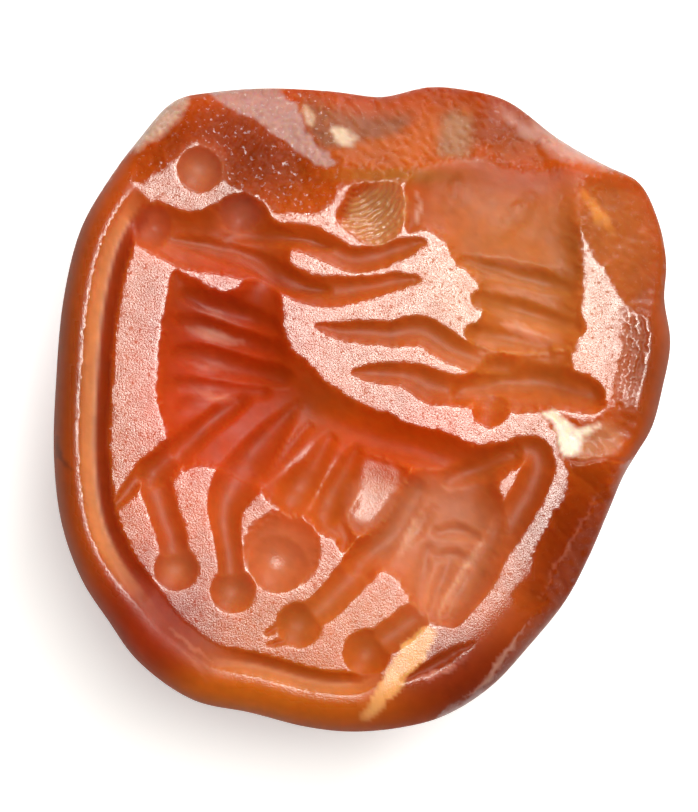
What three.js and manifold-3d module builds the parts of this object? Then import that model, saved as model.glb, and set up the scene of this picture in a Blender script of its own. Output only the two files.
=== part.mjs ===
// Scarab seal of carnelian, broken along one end: lengths in millimetres, +Z up.
// It lies on the beetle's back with the engraved face up. +X is right and +Y is the broken end.
import * as THREE from "three";
import { mergeVertices } from "three/addons/utils/BufferGeometryUtils.js";
import Module from "manifold-3d";

const wasm = await Module();
wasm.setup();

// Driving sizes of the stone
const faceHeight = 8.2;
const rimInset = 0.48;
const rimRound = 0.75;
const baseThickness = 2.0;
const baseTaper = 0.04;
const rimBand = 0.4;
const seatShare = 0.93;
const bellyFall = 0.3;
const restShare = 0.3;
const domePower = 2.1;
const domeFullness = 2.2;
const outlineSteps = 64;
const domeRings = 6;
const rimTurns = [0, 30, 60, 90];

// The hole bored along the beetle for the ring's wire
const boreRadius = 0.75;
const boreX = 0.35;
const boreHeight = 4.5;
const boreLength = 16;
const boreSides = 20;

// The groove that frames the engraved picture
const borderInset = 0.76;
const borderHalfWidth = 0.2;
const borderDepthShare = 0.55;
const borderArcs = [[126, 306], [0, 28]];

// Fineness of the cutters
const cutSides = 8;
const grooveSides = 6;
const endTurns = [31, 62];
const stepsPerStretch = 2;
const ballSides = 12;
const hollowSides = 20;
const scarFacet = 1.7;

// Edge of the stone as it is now, chips and break included, anticlockwise from the right
const outlinePoints = [
  [6.18, 1.32], [6.06, 2.2], [6.1, 2.92], [5.94, 3.76], [5.56, 4.52], [4.84, 4.9], [3.96, 5.42],
  [3.0, 6.16], [2.16, 6.42], [1.36, 6.5], [0.4, 6.3], [-0.64, 6.4], [-1.94, 6.44], [-3.04, 6.34],
  [-3.8, 6.16], [-4.5, 5.38], [-5.1, 4.56], [-5.64, 3.6], [-5.98, 2.26], [-6.14, 0.56],
  [-6.18, -1.04], [-6.02, -2.34], [-5.62, -3.44], [-5.1, -4.24], [-4.5, -5.06], [-3.4, -5.84],
  [-2.24, -6.1], [-1.14, -6.38], [-0.24, -6.48], [0.76, -6.4], [1.66, -6.16], [2.56, -5.6],
  [3.36, -4.76], [4.1, -3.84], [4.56, -2.98], [4.94, -2.08], [5.24, -1.36], [5.48, -0.94],
  [5.8, -0.4], [6.02, 0.4],
];

// Broad hollows of the picture: centre, half length, half width, turn of the length and depth
const hollows = {
  throat: { at: [-2.8, 1.8], halfLength: 1.3, halfWidth: 0.95, turn: -18, depth: 0.36 },
  chest: { at: [-2.56, 0.3], halfLength: 1.5, halfWidth: 1.05, turn: -12, depth: 0.44 },
  body: { at: [0.1, -0.5], halfLength: 2.5, halfWidth: 0.86, turn: -20, depth: 0.56 },
  haunch: { at: [1.78, -2.4], halfLength: 1.75, halfWidth: 1.05, turn: 76, depth: 0.4 },
  invertedShoulder: { at: [3.0, 3.4], halfLength: 1.5, halfWidth: 1.2, turn: 120, depth: 0.5 },
  invertedNeck: { at: [3.36, 1.8], halfLength: 1.5, halfWidth: 1.0, turn: 86, depth: 0.36 },
};

// Cuts of the picture: share of depth to half width, then x, y and half width along the cut.
// A cut with one point is the round pit of a ball drill. Cuts lie in the hollows where they meet.
const standingGoat = {
  muzzle: [0.55, [-4.28, 3.66, 0.4]],
  eye: [0.6, [-2.4, 3.88, 0.44]],
  head: [0.5, [-4.24, 3.6, 0.4], [-3.24, 3.26, 0.42], [-2.04, 2.92, 0.36]],
  upperHorn: [0.6, [-2.14, 3.32, 0.26], [-1.34, 3.48, 0.24], [-0.3, 2.92, 0.23], [0.36, 3.0, 0.21],
    [1.16, 3.26, 0.06]],
  lowerHorn: [0.6, [-2.64, 2.92, 0.28], [-1.74, 2.56, 0.28], [-0.84, 2.3, 0.27], [0.16, 2.4, 0.22],
    [1.16, 2.62, 0.06]],
  mane1: [0.5, [-3.76, 2.32, 0.2], [-2.7, 2.04, 0.26], [-1.84, 1.74, 0.22]],
  mane2: [0.5, [-3.9, 1.8, 0.2], [-2.7, 1.54, 0.26], [-1.8, 1.28, 0.24]],
  mane3: [0.5, [-3.96, 1.16, 0.24], [-2.7, 0.96, 0.3], [-1.54, 0.72, 0.26]],
  mane4: [0.5, [-3.94, 0.5, 0.24], [-2.7, 0.36, 0.3], [-1.6, 0.24, 0.26]],
  mane5: [0.5, [-3.84, -0.14, 0.24], [-2.8, -0.16, 0.28], [-1.9, -0.2, 0.26]],
  rib1: [0.6, [-1.24, -0.34, 0.18], [-2.0, -1.66, 0.18]],
  rib2: [0.5, [-0.54, -0.64, 0.24], [-1.04, -1.4, 0.32], [-1.44, -1.84, 0.22]],
  rib3: [0.5, [0.16, -0.84, 0.22], [-0.36, -1.6, 0.3], [-0.88, -2.14, 0.18]],
  foreleg: [0.6, [-2.34, 0.2, 0.22], [-3.3, -0.6, 0.26], [-4.24, -1.3, 0.24]],
  foreshin: [0.6, [-4.28, -1.4, 0.24], [-3.98, -2.2, 0.25], [-3.7, -2.96, 0.26]],
  kneeSpur: [0.5, [-3.94, -1.1, 0.16], [-4.98, -1.98, 0.05]],
  forehoof: [0.65, [-3.72, -3.2, 0.4]],
  secondForeleg: [0.6, [-1.74, -0.34, 0.3], [-2.48, -1.4, 0.32], [-2.84, -2.04, 0.3],
    [-2.8, -2.74, 0.24], [-2.64, -3.4, 0.22]],
  secondForehoof: [0.65, [-2.56, -3.64, 0.42]],
  hindleg: [0.6, [0.8, -2.5, 0.36], [-0.14, -3.44, 0.3], [-0.88, -4.08, 0.24]],
  hindhoof: [0.65, [-1.26, -4.32, 0.44]],
  hindSpur: [0.5, [-1.5, -4.4, 0.14], [-2.0, -4.66, 0.04]],
  secondHindleg: [0.6, [1.5, -3.5, 0.28], [1.06, -4.14, 0.28], [0.46, -4.6, 0.26]],
  secondHindhoof: [0.65, [0.1, -4.9, 0.46]],
  rump: [0.55, [1.86, -1.24, 0.24], [3.3, -0.72, 0.2]],
  tail: [0.6, [3.2, -0.76, 0.24], [3.54, -1.06, 0.26], [3.36, -1.64, 0.26], [2.86, -2.64, 0.24],
    [2.32, -3.68, 0.22], [1.56, -4.2, 0.14]],
};
const invertedGoat = {
  nape: [0.5, [3.94, 3.6, 0.34], [4.0, 2.4, 0.32], [3.92, 1.2, 0.34]],
  mane1: [0.5, [2.36, 2.84, 0.22], [3.26, 2.56, 0.26], [4.0, 2.3, 0.24]],
  mane2: [0.5, [2.46, 2.12, 0.22], [3.36, 1.9, 0.26], [4.04, 1.72, 0.24]],
  mane3: [0.5, [2.36, 1.4, 0.24], [3.3, 1.2, 0.3], [4.04, 1.08, 0.26]],
  head: [0.5, [2.3, 0.76, 0.3], [3.3, 0.52, 0.46], [3.9, 0.36, 0.4], [4.72, 0.16, 0.3]],
  eye: [0.6, [2.58, 0.0, 0.36]],
  upperHorn: [0.6, [2.8, 0.84, 0.28], [1.76, 1.26, 0.26], [1.26, 1.5, 0.25], [0.36, 1.56, 0.22],
    [-0.9, 1.66, 0.05]],
  lowerHorn: [0.6, [3.1, 0.46, 0.28], [2.16, 0.3, 0.28], [1.56, 0.4, 0.26], [0.9, 0.62, 0.23],
    [-0.2, 0.73, 0.05]],
  legRoot: [0.5, [3.28, 4.2, 0.24], [2.82, 3.52, 0.22]],
  flank: [0.5, [1.92, 4.46, 0.2], [1.6, 3.6, 0.16]],
};
const fillings = {
  ballByHead: [0.6, [-3.24, 4.74, 0.46]],
  ballUnderBelly: [0.6, [-1.56, -3.0, 0.66]],
  ringOverBall: [0.3, [-1.5, -2.76, 0.82]],
  scoop: [0.35, [0.24, 3.88, 0.68]],
};

// Flakes lost from the stone: a point on the scar, its depth under the face, the compass
// direction and slope in which the scar falls away, and the radius of its hollow.
const scars = [
  { at: [-2.24, 4.4], depth: 0.0, heading: 80, slope: 21, radius: 16 },
  { at: [-1.7, 5.5], depth: 0.5, heading: 62, slope: 46, radius: 9 },
  { at: [0.8, 4.8], depth: 0.15, heading: 90, slope: 40, radius: 3.4 },
  { at: [3.5, 4.84], depth: 0.5, heading: 58, slope: 48, radius: 9 },
  { at: [3.1, 4.24], depth: 0.05, heading: 84, slope: 27, radius: 12 },
  { at: [5.0, 2.86], depth: 0.0, heading: 36, slope: 32, radius: 7 },
  { at: [4.7, -0.6], depth: 0.04, heading: -24, slope: 34, radius: 3.2 },
  { at: [3.72, -2.64], depth: 0.0, heading: -28, slope: 36, radius: 18 },
];

// Grooves of the beetle on the back: its wing seam, its shoulder line and its head line, in plan
const beetleGrooveRadius = 0.16;
const beetleGrooves = [
  [[0, -0.9], [0, 1.2], [0, 3.2], [0, 5.0]],
  [[-5.0, 0.3], [-2.7, -0.7], [0, -0.98], [2.7, -0.7], [5.0, 0.3]],
  [[-3.4, -4.5], [-2.2, -3.7], [0, -3.5], [2.2, -3.7], [3.4, -4.5]],
];

// Legs of the beetle, cut along its flanks: compass directions and heights from front to back
const legGrooveRadius = 0.2;
const legGrooves = [
  [[-52, 5.2], [-40, 4.3], [-28, 3.7]],
  [[-24, 5.3], [-8, 4.4], [8, 4.0]],
  [[2, 5.3], [18, 4.6], [36, 4.3]],
];

const seatHeight = faceHeight - baseThickness - bellyFall;
const radians = THREE.MathUtils.degToRad;

// Working geometry
function solidOf(geometry) {
  const plain = geometry.clone();
  for (const name of Object.keys(plain.attributes)) {
    if (name !== "position") plain.deleteAttribute(name);
  }
  const merged = mergeVertices(plain, 1e-5);
  const mesh = new wasm.Mesh({
    numProp: 3,
    vertProperties: new Float32Array(merged.attributes.position.array),
    triVerts: new Uint32Array(merged.index.array),
  });
  return new wasm.Manifold(mesh);
}

// Skins a stack of closed rings, each with the same number of points, and closes both ends
function skin(rings, firstPole, lastPole) {
  const count = rings[0].length;
  const positions = [];
  const triangles = [];
  for (const ring of rings) {
    for (const point of ring) positions.push(point.x, point.y, point.z);
  }
  for (let level = 0; level + 1 < rings.length; level += 1) {
    for (let step = 0; step < count; step += 1) {
      const a = level * count + step;
      const b = level * count + ((step + 1) % count);
      triangles.push(a, b, b + count, a, b + count, a + count);
    }
  }
  const first = positions.length / 3;
  positions.push(firstPole.x, firstPole.y, firstPole.z, lastPole.x, lastPole.y, lastPole.z);
  const top = (rings.length - 1) * count;
  for (let step = 0; step < count; step += 1) {
    const next = (step + 1) % count;
    triangles.push(first, next, step, first + 1, top + step, top + next);
  }
  const geometry = new THREE.BufferGeometry();
  geometry.setAttribute("position", new THREE.Float32BufferAttribute(positions, 3));
  geometry.setIndex(triangles);
  return geometry;
}

// Edge of the stone as a smooth closed line, centred on its own box
const rawOutline = new THREE.CatmullRomCurve3(
  outlinePoints.map(([x, y]) => new THREE.Vector3(x, y, 0)), true, "centripetal",
).getSpacedPoints(outlineSteps).slice(0, outlineSteps);
const outlineBox = new THREE.Box3().setFromPoints(rawOutline);
const outlineCentre = outlineBox.getCenter(new THREE.Vector3());
const outline = rawOutline.map((point) => point.clone().sub(outlineCentre));
const inward = outline.map((point, step) => {
  const before = outline[(step + outlineSteps - 1) % outlineSteps];
  const after = outline[(step + 1) % outlineSteps];
  return new THREE.Vector3(before.y - after.y, after.x - before.x, 0).normalize();
});

function insetRing(inset, height) {
  return outline.map((point, step) => point.clone().addScaledVector(inward[step], inset).setZ(height));
}

// Width of the beetle at a height, as a share of the stone's edge
function domeShare(height) {
  const fall = 1 - height / seatHeight;
  const swell = Math.pow(Math.max(0, 1 - Math.pow(fall, domePower)), 1 / domeFullness);
  return restShare + (seatShare - restShare) * swell;
}

function domeRing(height) {
  const share = domeShare(height);
  return outline.map((point) => new THREE.Vector3(point.x * share, point.y * share, height));
}

function edgeRadius(angle) {
  let nearest = outline[0];
  let gap = Infinity;
  for (const point of outline) {
    const turn = Math.abs(Math.atan2(Math.sin(Math.atan2(point.y, point.x) - angle),
      Math.cos(Math.atan2(point.y, point.x) - angle)));
    if (turn < gap) {
      gap = turn;
      nearest = point;
    }
  }
  return Math.hypot(nearest.x, nearest.y);
}

// Height of the beetle's back under a plan point
function backHeight(x, y) {
  const share = Math.hypot(x, y) / edgeRadius(Math.atan2(y, x));
  if (share <= restShare) return 0;
  const swell = Math.min(1, (share - restShare) / (seatShare - restShare));
  return seatHeight * (1 - Math.pow(1 - Math.pow(swell, domeFullness), 1 / domePower));
}

// The whole stone before carving: beetle's back, belly step, base and rounded rim
function stone() {
  const rings = [];
  for (let ring = 0; ring <= domeRings; ring += 1) {
    const angle = (Math.PI / 2) * (ring / domeRings);
    rings.push(domeRing(seatHeight * (1 - Math.cos(angle))));
  }
  rings.push(insetRing(baseTaper, faceHeight - baseThickness));
  rings.push(insetRing(0, faceHeight - rimRound - rimBand));
  for (const turn of rimTurns) {
    const inset = rimInset * (1 - Math.cos(radians(turn)));
    rings.push(insetRing(inset, faceHeight - rimRound * (1 - Math.sin(radians(turn)))));
  }
  return skin(rings, new THREE.Vector3(0, 0, 0), new THREE.Vector3(0, 0, faceHeight));
}

// A round-ended tube along a line of points, each with its own radius
function taperedTube(points, radii, sides) {
  const rings = [];
  const up = new THREE.Vector3(0, 0, 1);
  const last = points.length - 1;
  const tangents = points.map((point, step) => {
    const after = points[Math.min(step + 1, last)];
    return after.clone().sub(points[Math.max(step - 1, 0)]).normalize();
  });
  const ringAt = (centre, tangent, radius) => {
    const side = new THREE.Vector3().crossVectors(tangent, up).normalize();
    const rise = new THREE.Vector3().crossVectors(side, tangent);
    return Array.from({ length: sides }, (unused, step) => {
      const angle = -(Math.PI * 2 * (step + 0.5)) / sides;
      return centre.clone().addScaledVector(side, radius * Math.cos(angle))
        .addScaledVector(rise, radius * Math.sin(angle));
    });
  };
  const capRing = (step, turn, way) => {
    const reach = way * radii[step] * Math.sin(radians(turn));
    const centre = points[step].clone().addScaledVector(tangents[step], reach);
    return ringAt(centre, tangents[step], radii[step] * Math.cos(radians(turn)));
  };
  for (const turn of endTurns.toReversed()) rings.push(capRing(0, turn, -1));
  points.forEach((point, step) => rings.push(ringAt(point, tangents[step], radii[step])));
  for (const turn of endTurns) rings.push(capRing(last, turn, 1));
  const firstPole = points[0].clone().addScaledVector(tangents[0], -radii[0]);
  const lastPole = points[last].clone().addScaledVector(tangents[last], radii[last]);
  return skin(rings, firstPole, lastPole);
}

// Radius of a round tool that leaves a cut of this half width and depth share
function toolRadius(halfWidth, share) {
  return (halfWidth * (1 + share * share)) / (2 * share);
}

// A hollow is the cap of a ball, stretched to its plan and depth: the cap's own share of the ball
const capRadius = 0.8;
const capLift = 0.6;

function hollowCut({ at, halfLength, halfWidth, turn, depth }) {
  const ball = new THREE.SphereGeometry(1, hollowSides, hollowSides / 2);
  ball.rotateX(Math.PI / 2);
  const rise = depth / (1 - capLift);
  ball.scale(halfLength / capRadius, halfWidth / capRadius, rise);
  ball.rotateZ(radians(turn));
  return ball.translate(at[0], at[1], faceHeight + capLift * rise);
}

// Depth of the hollows under a plan point
function hollowDepth(x, y) {
  const depths = Object.values(hollows).map(({ at, halfLength, halfWidth, turn, depth }) => {
    const along = (x - at[0]) * Math.cos(radians(turn)) + (y - at[1]) * Math.sin(radians(turn));
    const across = (y - at[1]) * Math.cos(radians(turn)) - (x - at[0]) * Math.sin(radians(turn));
    const reach = Math.hypot(along / halfLength, across / halfWidth) * capRadius;
    const drop = Math.sqrt(Math.max(0, 1 - reach * reach)) - capLift;
    return (depth * drop) / (1 - capLift);
  });
  return Math.max(0, ...depths);
}

// Height of the tool's centre over the face, for a cut at a plan point
function toolHeight(x, y, halfWidth, share) {
  return faceHeight - hollowDepth(x, y) + toolRadius(halfWidth, share) - share * halfWidth;
}

function faceCut([share, ...points]) {
  if (points.length === 1) {
    const [x, y, halfWidth] = points[0];
    const ball = new THREE.SphereGeometry(toolRadius(halfWidth, share), ballSides, ballSides - 2);
    ball.rotateX(Math.PI / 2);
    return ball.translate(x, y, toolHeight(x, y, halfWidth, share));
  }
  const path = new THREE.CatmullRomCurve3(
    points.map(([x, y, halfWidth]) => new THREE.Vector3(x, y, halfWidth)), false, "centripetal",
  ).getPoints((points.length - 1) * stepsPerStretch);
  const radii = path.map((point) => toolRadius(point.z, share));
  const centres = path.map(
    (point) => new THREE.Vector3(point.x, point.y, toolHeight(point.x, point.y, point.z, share)),
  );
  return taperedTube(centres, radii, cutSides);
}

// The framing groove, left where the rim survives
function borderCut([fromTurn, toTurn]) {
  const turnOf = (point) => THREE.MathUtils.euclideanModulo(
    THREE.MathUtils.radToDeg(Math.atan2(point.y, point.x)) - fromTurn, 360,
  );
  const kept = insetRing(borderInset, 0).filter((point) => turnOf(point) <= toTurn - fromTurn);
  kept.sort((one, two) => turnOf(one) - turnOf(two));
  const radius = toolRadius(borderHalfWidth, borderDepthShare);
  const lift = radius - borderDepthShare * borderHalfWidth;
  const points = kept.map((point) => point.setZ(faceHeight + lift));
  return taperedTube(points, points.map(() => radius), cutSides);
}

// A flake's hollow: a large ball that touches the scar's slope at the stated point
function scarCut({ at, depth, heading, slope, radius }) {
  const lean = Math.sin(radians(slope));
  const centre = new THREE.Vector3(
    at[0] + radius * lean * Math.cos(radians(heading)),
    at[1] + radius * lean * Math.sin(radians(heading)),
    faceHeight - depth + radius * Math.cos(radians(slope)),
  );
  const ball = new THREE.IcosahedronGeometry(radius, Math.round(radius / scarFacet) + 2);
  return ball.translate(centre.x, centre.y, centre.z);
}

function backCut(planPoints) {
  const path = new THREE.CatmullRomCurve3(
    planPoints.map(([x, y]) => new THREE.Vector3(x, y, 0)), false, "centripetal",
  ).getPoints((planPoints.length - 1) * stepsPerStretch);
  const points = path.map((point) => point.clone().setZ(backHeight(point.x, point.y)));
  return taperedTube(points, points.map(() => beetleGrooveRadius), grooveSides);
}

function legCut(turns, side) {
  const points = turns.map(([turn, height]) => {
    const angle = side > 0 ? radians(turn) : Math.PI - radians(turn);
    const reach = edgeRadius(angle) * domeShare(height);
    return new THREE.Vector3(reach * Math.cos(angle), reach * Math.sin(angle), height);
  });
  return taperedTube(points, points.map(() => legGrooveRadius), grooveSides);
}

// All cuts
const pictureCuts = [standingGoat, invertedGoat, fillings].flatMap((group) => Object.values(group));
const cutters = [...Object.values(hollows).map(hollowCut), ...pictureCuts.map(faceCut)];
for (const arc of borderArcs) cutters.push(borderCut(arc));
for (const scar of scars) cutters.push(scarCut(scar));
for (const groove of beetleGrooves) cutters.push(backCut(groove));
for (const turns of legGrooves) {
  for (const side of [-1, 1]) cutters.push(legCut(turns, side));
}
const bore = new THREE.CylinderGeometry(boreRadius, boreRadius, boreLength, boreSides);
cutters.push(bore.translate(boreX, 0, boreHeight));

let carved = solidOf(stone());
for (const cutter of cutters) carved = carved.subtract(solidOf(cutter));

function geometryOf(solid) {
  const mesh = solid.getMesh();
  const geometry = new THREE.BufferGeometry();
  geometry.setAttribute("position", new THREE.Float32BufferAttribute(mesh.vertProperties, 3));
  geometry.setIndex(new THREE.Uint32BufferAttribute(mesh.triVerts, 1));
  return geometry.toNonIndexed();
}

const carnelian = new THREE.MeshStandardMaterial({ color: 0xb9491c, roughness: 0.3, metalness: 0 });
const seal = new THREE.Mesh(geometryOf(carved), carnelian);
seal.name = "scarab_seal";
const part = new THREE.Group();
part.add(seal);

export default part;
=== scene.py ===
import math

import bpy
import numpy as np
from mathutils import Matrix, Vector, noise
from mathutils.geometry import delaunay_2d_cdt


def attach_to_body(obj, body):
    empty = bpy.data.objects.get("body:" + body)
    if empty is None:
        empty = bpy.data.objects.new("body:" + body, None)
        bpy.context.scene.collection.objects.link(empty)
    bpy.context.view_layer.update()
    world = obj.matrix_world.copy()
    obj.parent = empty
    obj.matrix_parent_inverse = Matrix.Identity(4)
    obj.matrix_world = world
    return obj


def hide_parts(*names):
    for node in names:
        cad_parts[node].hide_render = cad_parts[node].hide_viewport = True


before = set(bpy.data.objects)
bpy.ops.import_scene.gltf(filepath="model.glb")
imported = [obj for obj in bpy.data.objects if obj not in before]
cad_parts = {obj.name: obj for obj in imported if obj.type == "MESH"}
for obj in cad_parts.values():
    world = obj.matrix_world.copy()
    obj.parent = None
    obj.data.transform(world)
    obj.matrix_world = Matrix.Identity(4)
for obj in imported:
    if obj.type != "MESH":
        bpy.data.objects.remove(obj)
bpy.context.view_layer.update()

# Driving sizes of the stone, in millimetres, as in the solid
FACE = 8.2
RIM_ROUND = 0.75
BASE_THICK = 2.0
BASE_TAPER = 0.04
SEAT_SHARE = 0.93
BELLY_FALL = 0.3
REST_SHARE = 0.3
DOME_POWER = 2.1
DOME_FULLNESS = 2.2
SEAT = FACE - BASE_THICK - BELLY_FALL
BORE_RADIUS = 0.75
BORE_X = 0.35
BORE_HEIGHT = 4.5
BORE_LENGTH = 16
BORE_SIDES = 48
BORE_STRETCHES = 24
BORE_COLOUR = (150, 70, 34)
BORE_EDGE = 1.004
FACE_SWELL = 0.05
HALF_WIDTH = 6.2
HALF_LENGTH = 6.5
MM = 0.001

# Width of the rounded rim, and strength of the border groove inside it, by compass direction
RIM_WIDTHS = [(0, 0.5), (140, 0.46), (205, 0.48), (232, 0.7), (262, 0.68), (270, 0.72), (278, 1.05),
              (288, 1.2), (318, 1.15), (335, 0.6), (360, 0.5)]
BORDER_STRENGTHS = [(0, 0.0), (136, 0.0), (141, 1.0), (208, 1.0), (215, 0.6), (222, 0.12),
                    (228, 0.03), (238, 0.03), (247, 0.5), (268, 0.5), (274, 0.0), (360, 0.0)]
BORDER_HALF_WIDTHS = [(0, 0.28), (208, 0.28), (240, 0.22), (275, 0.2), (300, 0.18), (360, 0.28)]
RIDGE_WIDTH = 0.1
BORDER_SHARE = 0.9
STRIPE_INSETS = [0.54, 0.62, 0.73, 0.84, 0.94]
STRIPE_HALF_WIDTH = 0.045
STRIPE_SPAN = (0, 21)
STRIPE_MIDDLE = 10.5
STRIPE_SHARE = 0.8
STRIPE_CHIPPING = 2
STRIPE_WEAR = 0.03
STRIPE_WAVES = 1.6
STRIPE_SEED = 9
MIDDLE_WEAR = 0.4

# Grooves on the beetle's back, seen from above, and on its legs, by compass direction and height
BEETLE_GROOVES = [
    [(0, -0.9), (0, 1.2), (0, 3.2), (0, 5.0)],
    [(-5, 0.3), (-2.7, -0.7), (0, -0.98), (2.7, -0.7), (5, 0.3)],
    [(-3.4, -4.5), (-2.2, -3.7), (0, -3.5), (2.2, -3.7), (3.4, -4.5)],
]
LEG_GROOVES = [
    [(-52, 5.2), (-40, 4.3), (-28, 3.7)],
    [(-24, 5.3), (-8, 4.4), (8, 4.0)],
    [(2, 5.3), (18, 4.6), (36, 4.3)],
]
BEETLE_HALF_WIDTH = 0.2
BEETLE_SHARE = 0.8
BEETLE_ROUND = 0.05
BEETLE_TOP = 4.6
BEETLE_CORE = 5.0
LEG_HALF_WIDTH = 0.24
LEG_ROUND = 5.6
REST_HEIGHT = 0.005

# Fineness of the mesh
FINE_STEP = 0.037
BOX = 6.6
EDGE_STEPS = 360
EDGE_CURVE = 20
AREA_CURVE = 4
SCAR_CURVE = 3
LINE_CURVE = 6
DOME_RINGS = 76
ROW_SHARE = math.sqrt(3) / 2
CREASE_REACH = 0.05
EDGE_CLEAR = 0.05
RING_INSETS = [0.0, 0.006, 0.022]
MERGE_GAP = 1e-7
SMALLEST = 1e-12
BASE_RINGS = 8
BELLY_RINGS = 2
REST_RINGS = (0.66, 0.33)
GRID_STEP = 0.04

# How the cuts, hollows and scars run together, and how far away a point still counts
EDGE_ROUND = 0.035
SOFT_ROUND = 0.06
SOFT_FROM = 0.12
SOFT_NAMES = ("mane", "rump", "nape", "temple", "leg root", "flank", "ring")
HOLLOW_BLEND = 0.2
HOLLOW_BLUR = 0.2
SMOOTH_FROM = 0.22
SMOOTH_DELAY = 0.2
SCAR_BLEND = 0.22
FURTHER_ROUND = 0.05
FURTHER_BLEND = 0.3
BROKEN_FROM = 0.004
FURTHER_FROM = 0.02
HOLLOW_REACH = 1.4
CUT_MARGIN = 0.2
UNCUT = 9.0
NEAR = 0.5
FAR = 3.0

# The hand's unsteadiness, and the chips along each brink
HAND_SHAKE = 0.022
HAND_WAVES = 2.6
CHIPPING = 0.036
CHIP_WAVES = 9.0
CUT_CHIPPING = 0.65
SCAR_CHIPPING = 1.5
BRINK_REACH = 0.08

# Shape of the noise (roughness, step and number of its octaves), and one start for each use of it
NOISE_SHAPE = (0.8, 2.1, 3)
SEED_STEP = 7.3
SHAKE_SEEDS = (1, 2)
CHIP_SEED = 3
RIPPLE_SEED = 5
WANDER_SEEDS = (6, 9)
CLOUD_SEED = 7
FLECK_SEED = 8
SCAR_SEED = 11
STREAK_SEED = 12
GRIT_SEED = 13
BLOTCH_SEED = 15

OUTLINE = [
    (6.18, 1.32), (6.06, 2.2), (6.1, 2.92), (5.94, 3.76), (5.56, 4.52), (4.84, 4.9), (3.96, 5.42),
    (3.0, 6.16), (2.16, 6.42), (1.36, 6.5), (0.4, 6.3), (-0.64, 6.4), (-1.94, 6.44), (-3.04, 6.34),
    (-3.8, 6.16), (-4.5, 5.38), (-5.1, 4.56), (-5.64, 3.6), (-5.98, 2.26), (-6.14, 0.56),
    (-6.18, -1.04), (-6.02, -2.34), (-5.62, -3.44), (-5.1, -4.24), (-4.5, -5.06), (-3.4, -5.84),
    (-2.24, -6.1), (-1.14, -6.38), (-0.24, -6.48), (0.76, -6.4), (1.66, -6.16), (2.56, -5.6),
    (3.36, -4.76), (4.1, -3.84), (4.56, -2.98), (4.94, -2.08), (5.24, -1.36), (5.48, -0.94),
    (5.8, -0.4), (6.02, 0.4),
]

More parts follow.
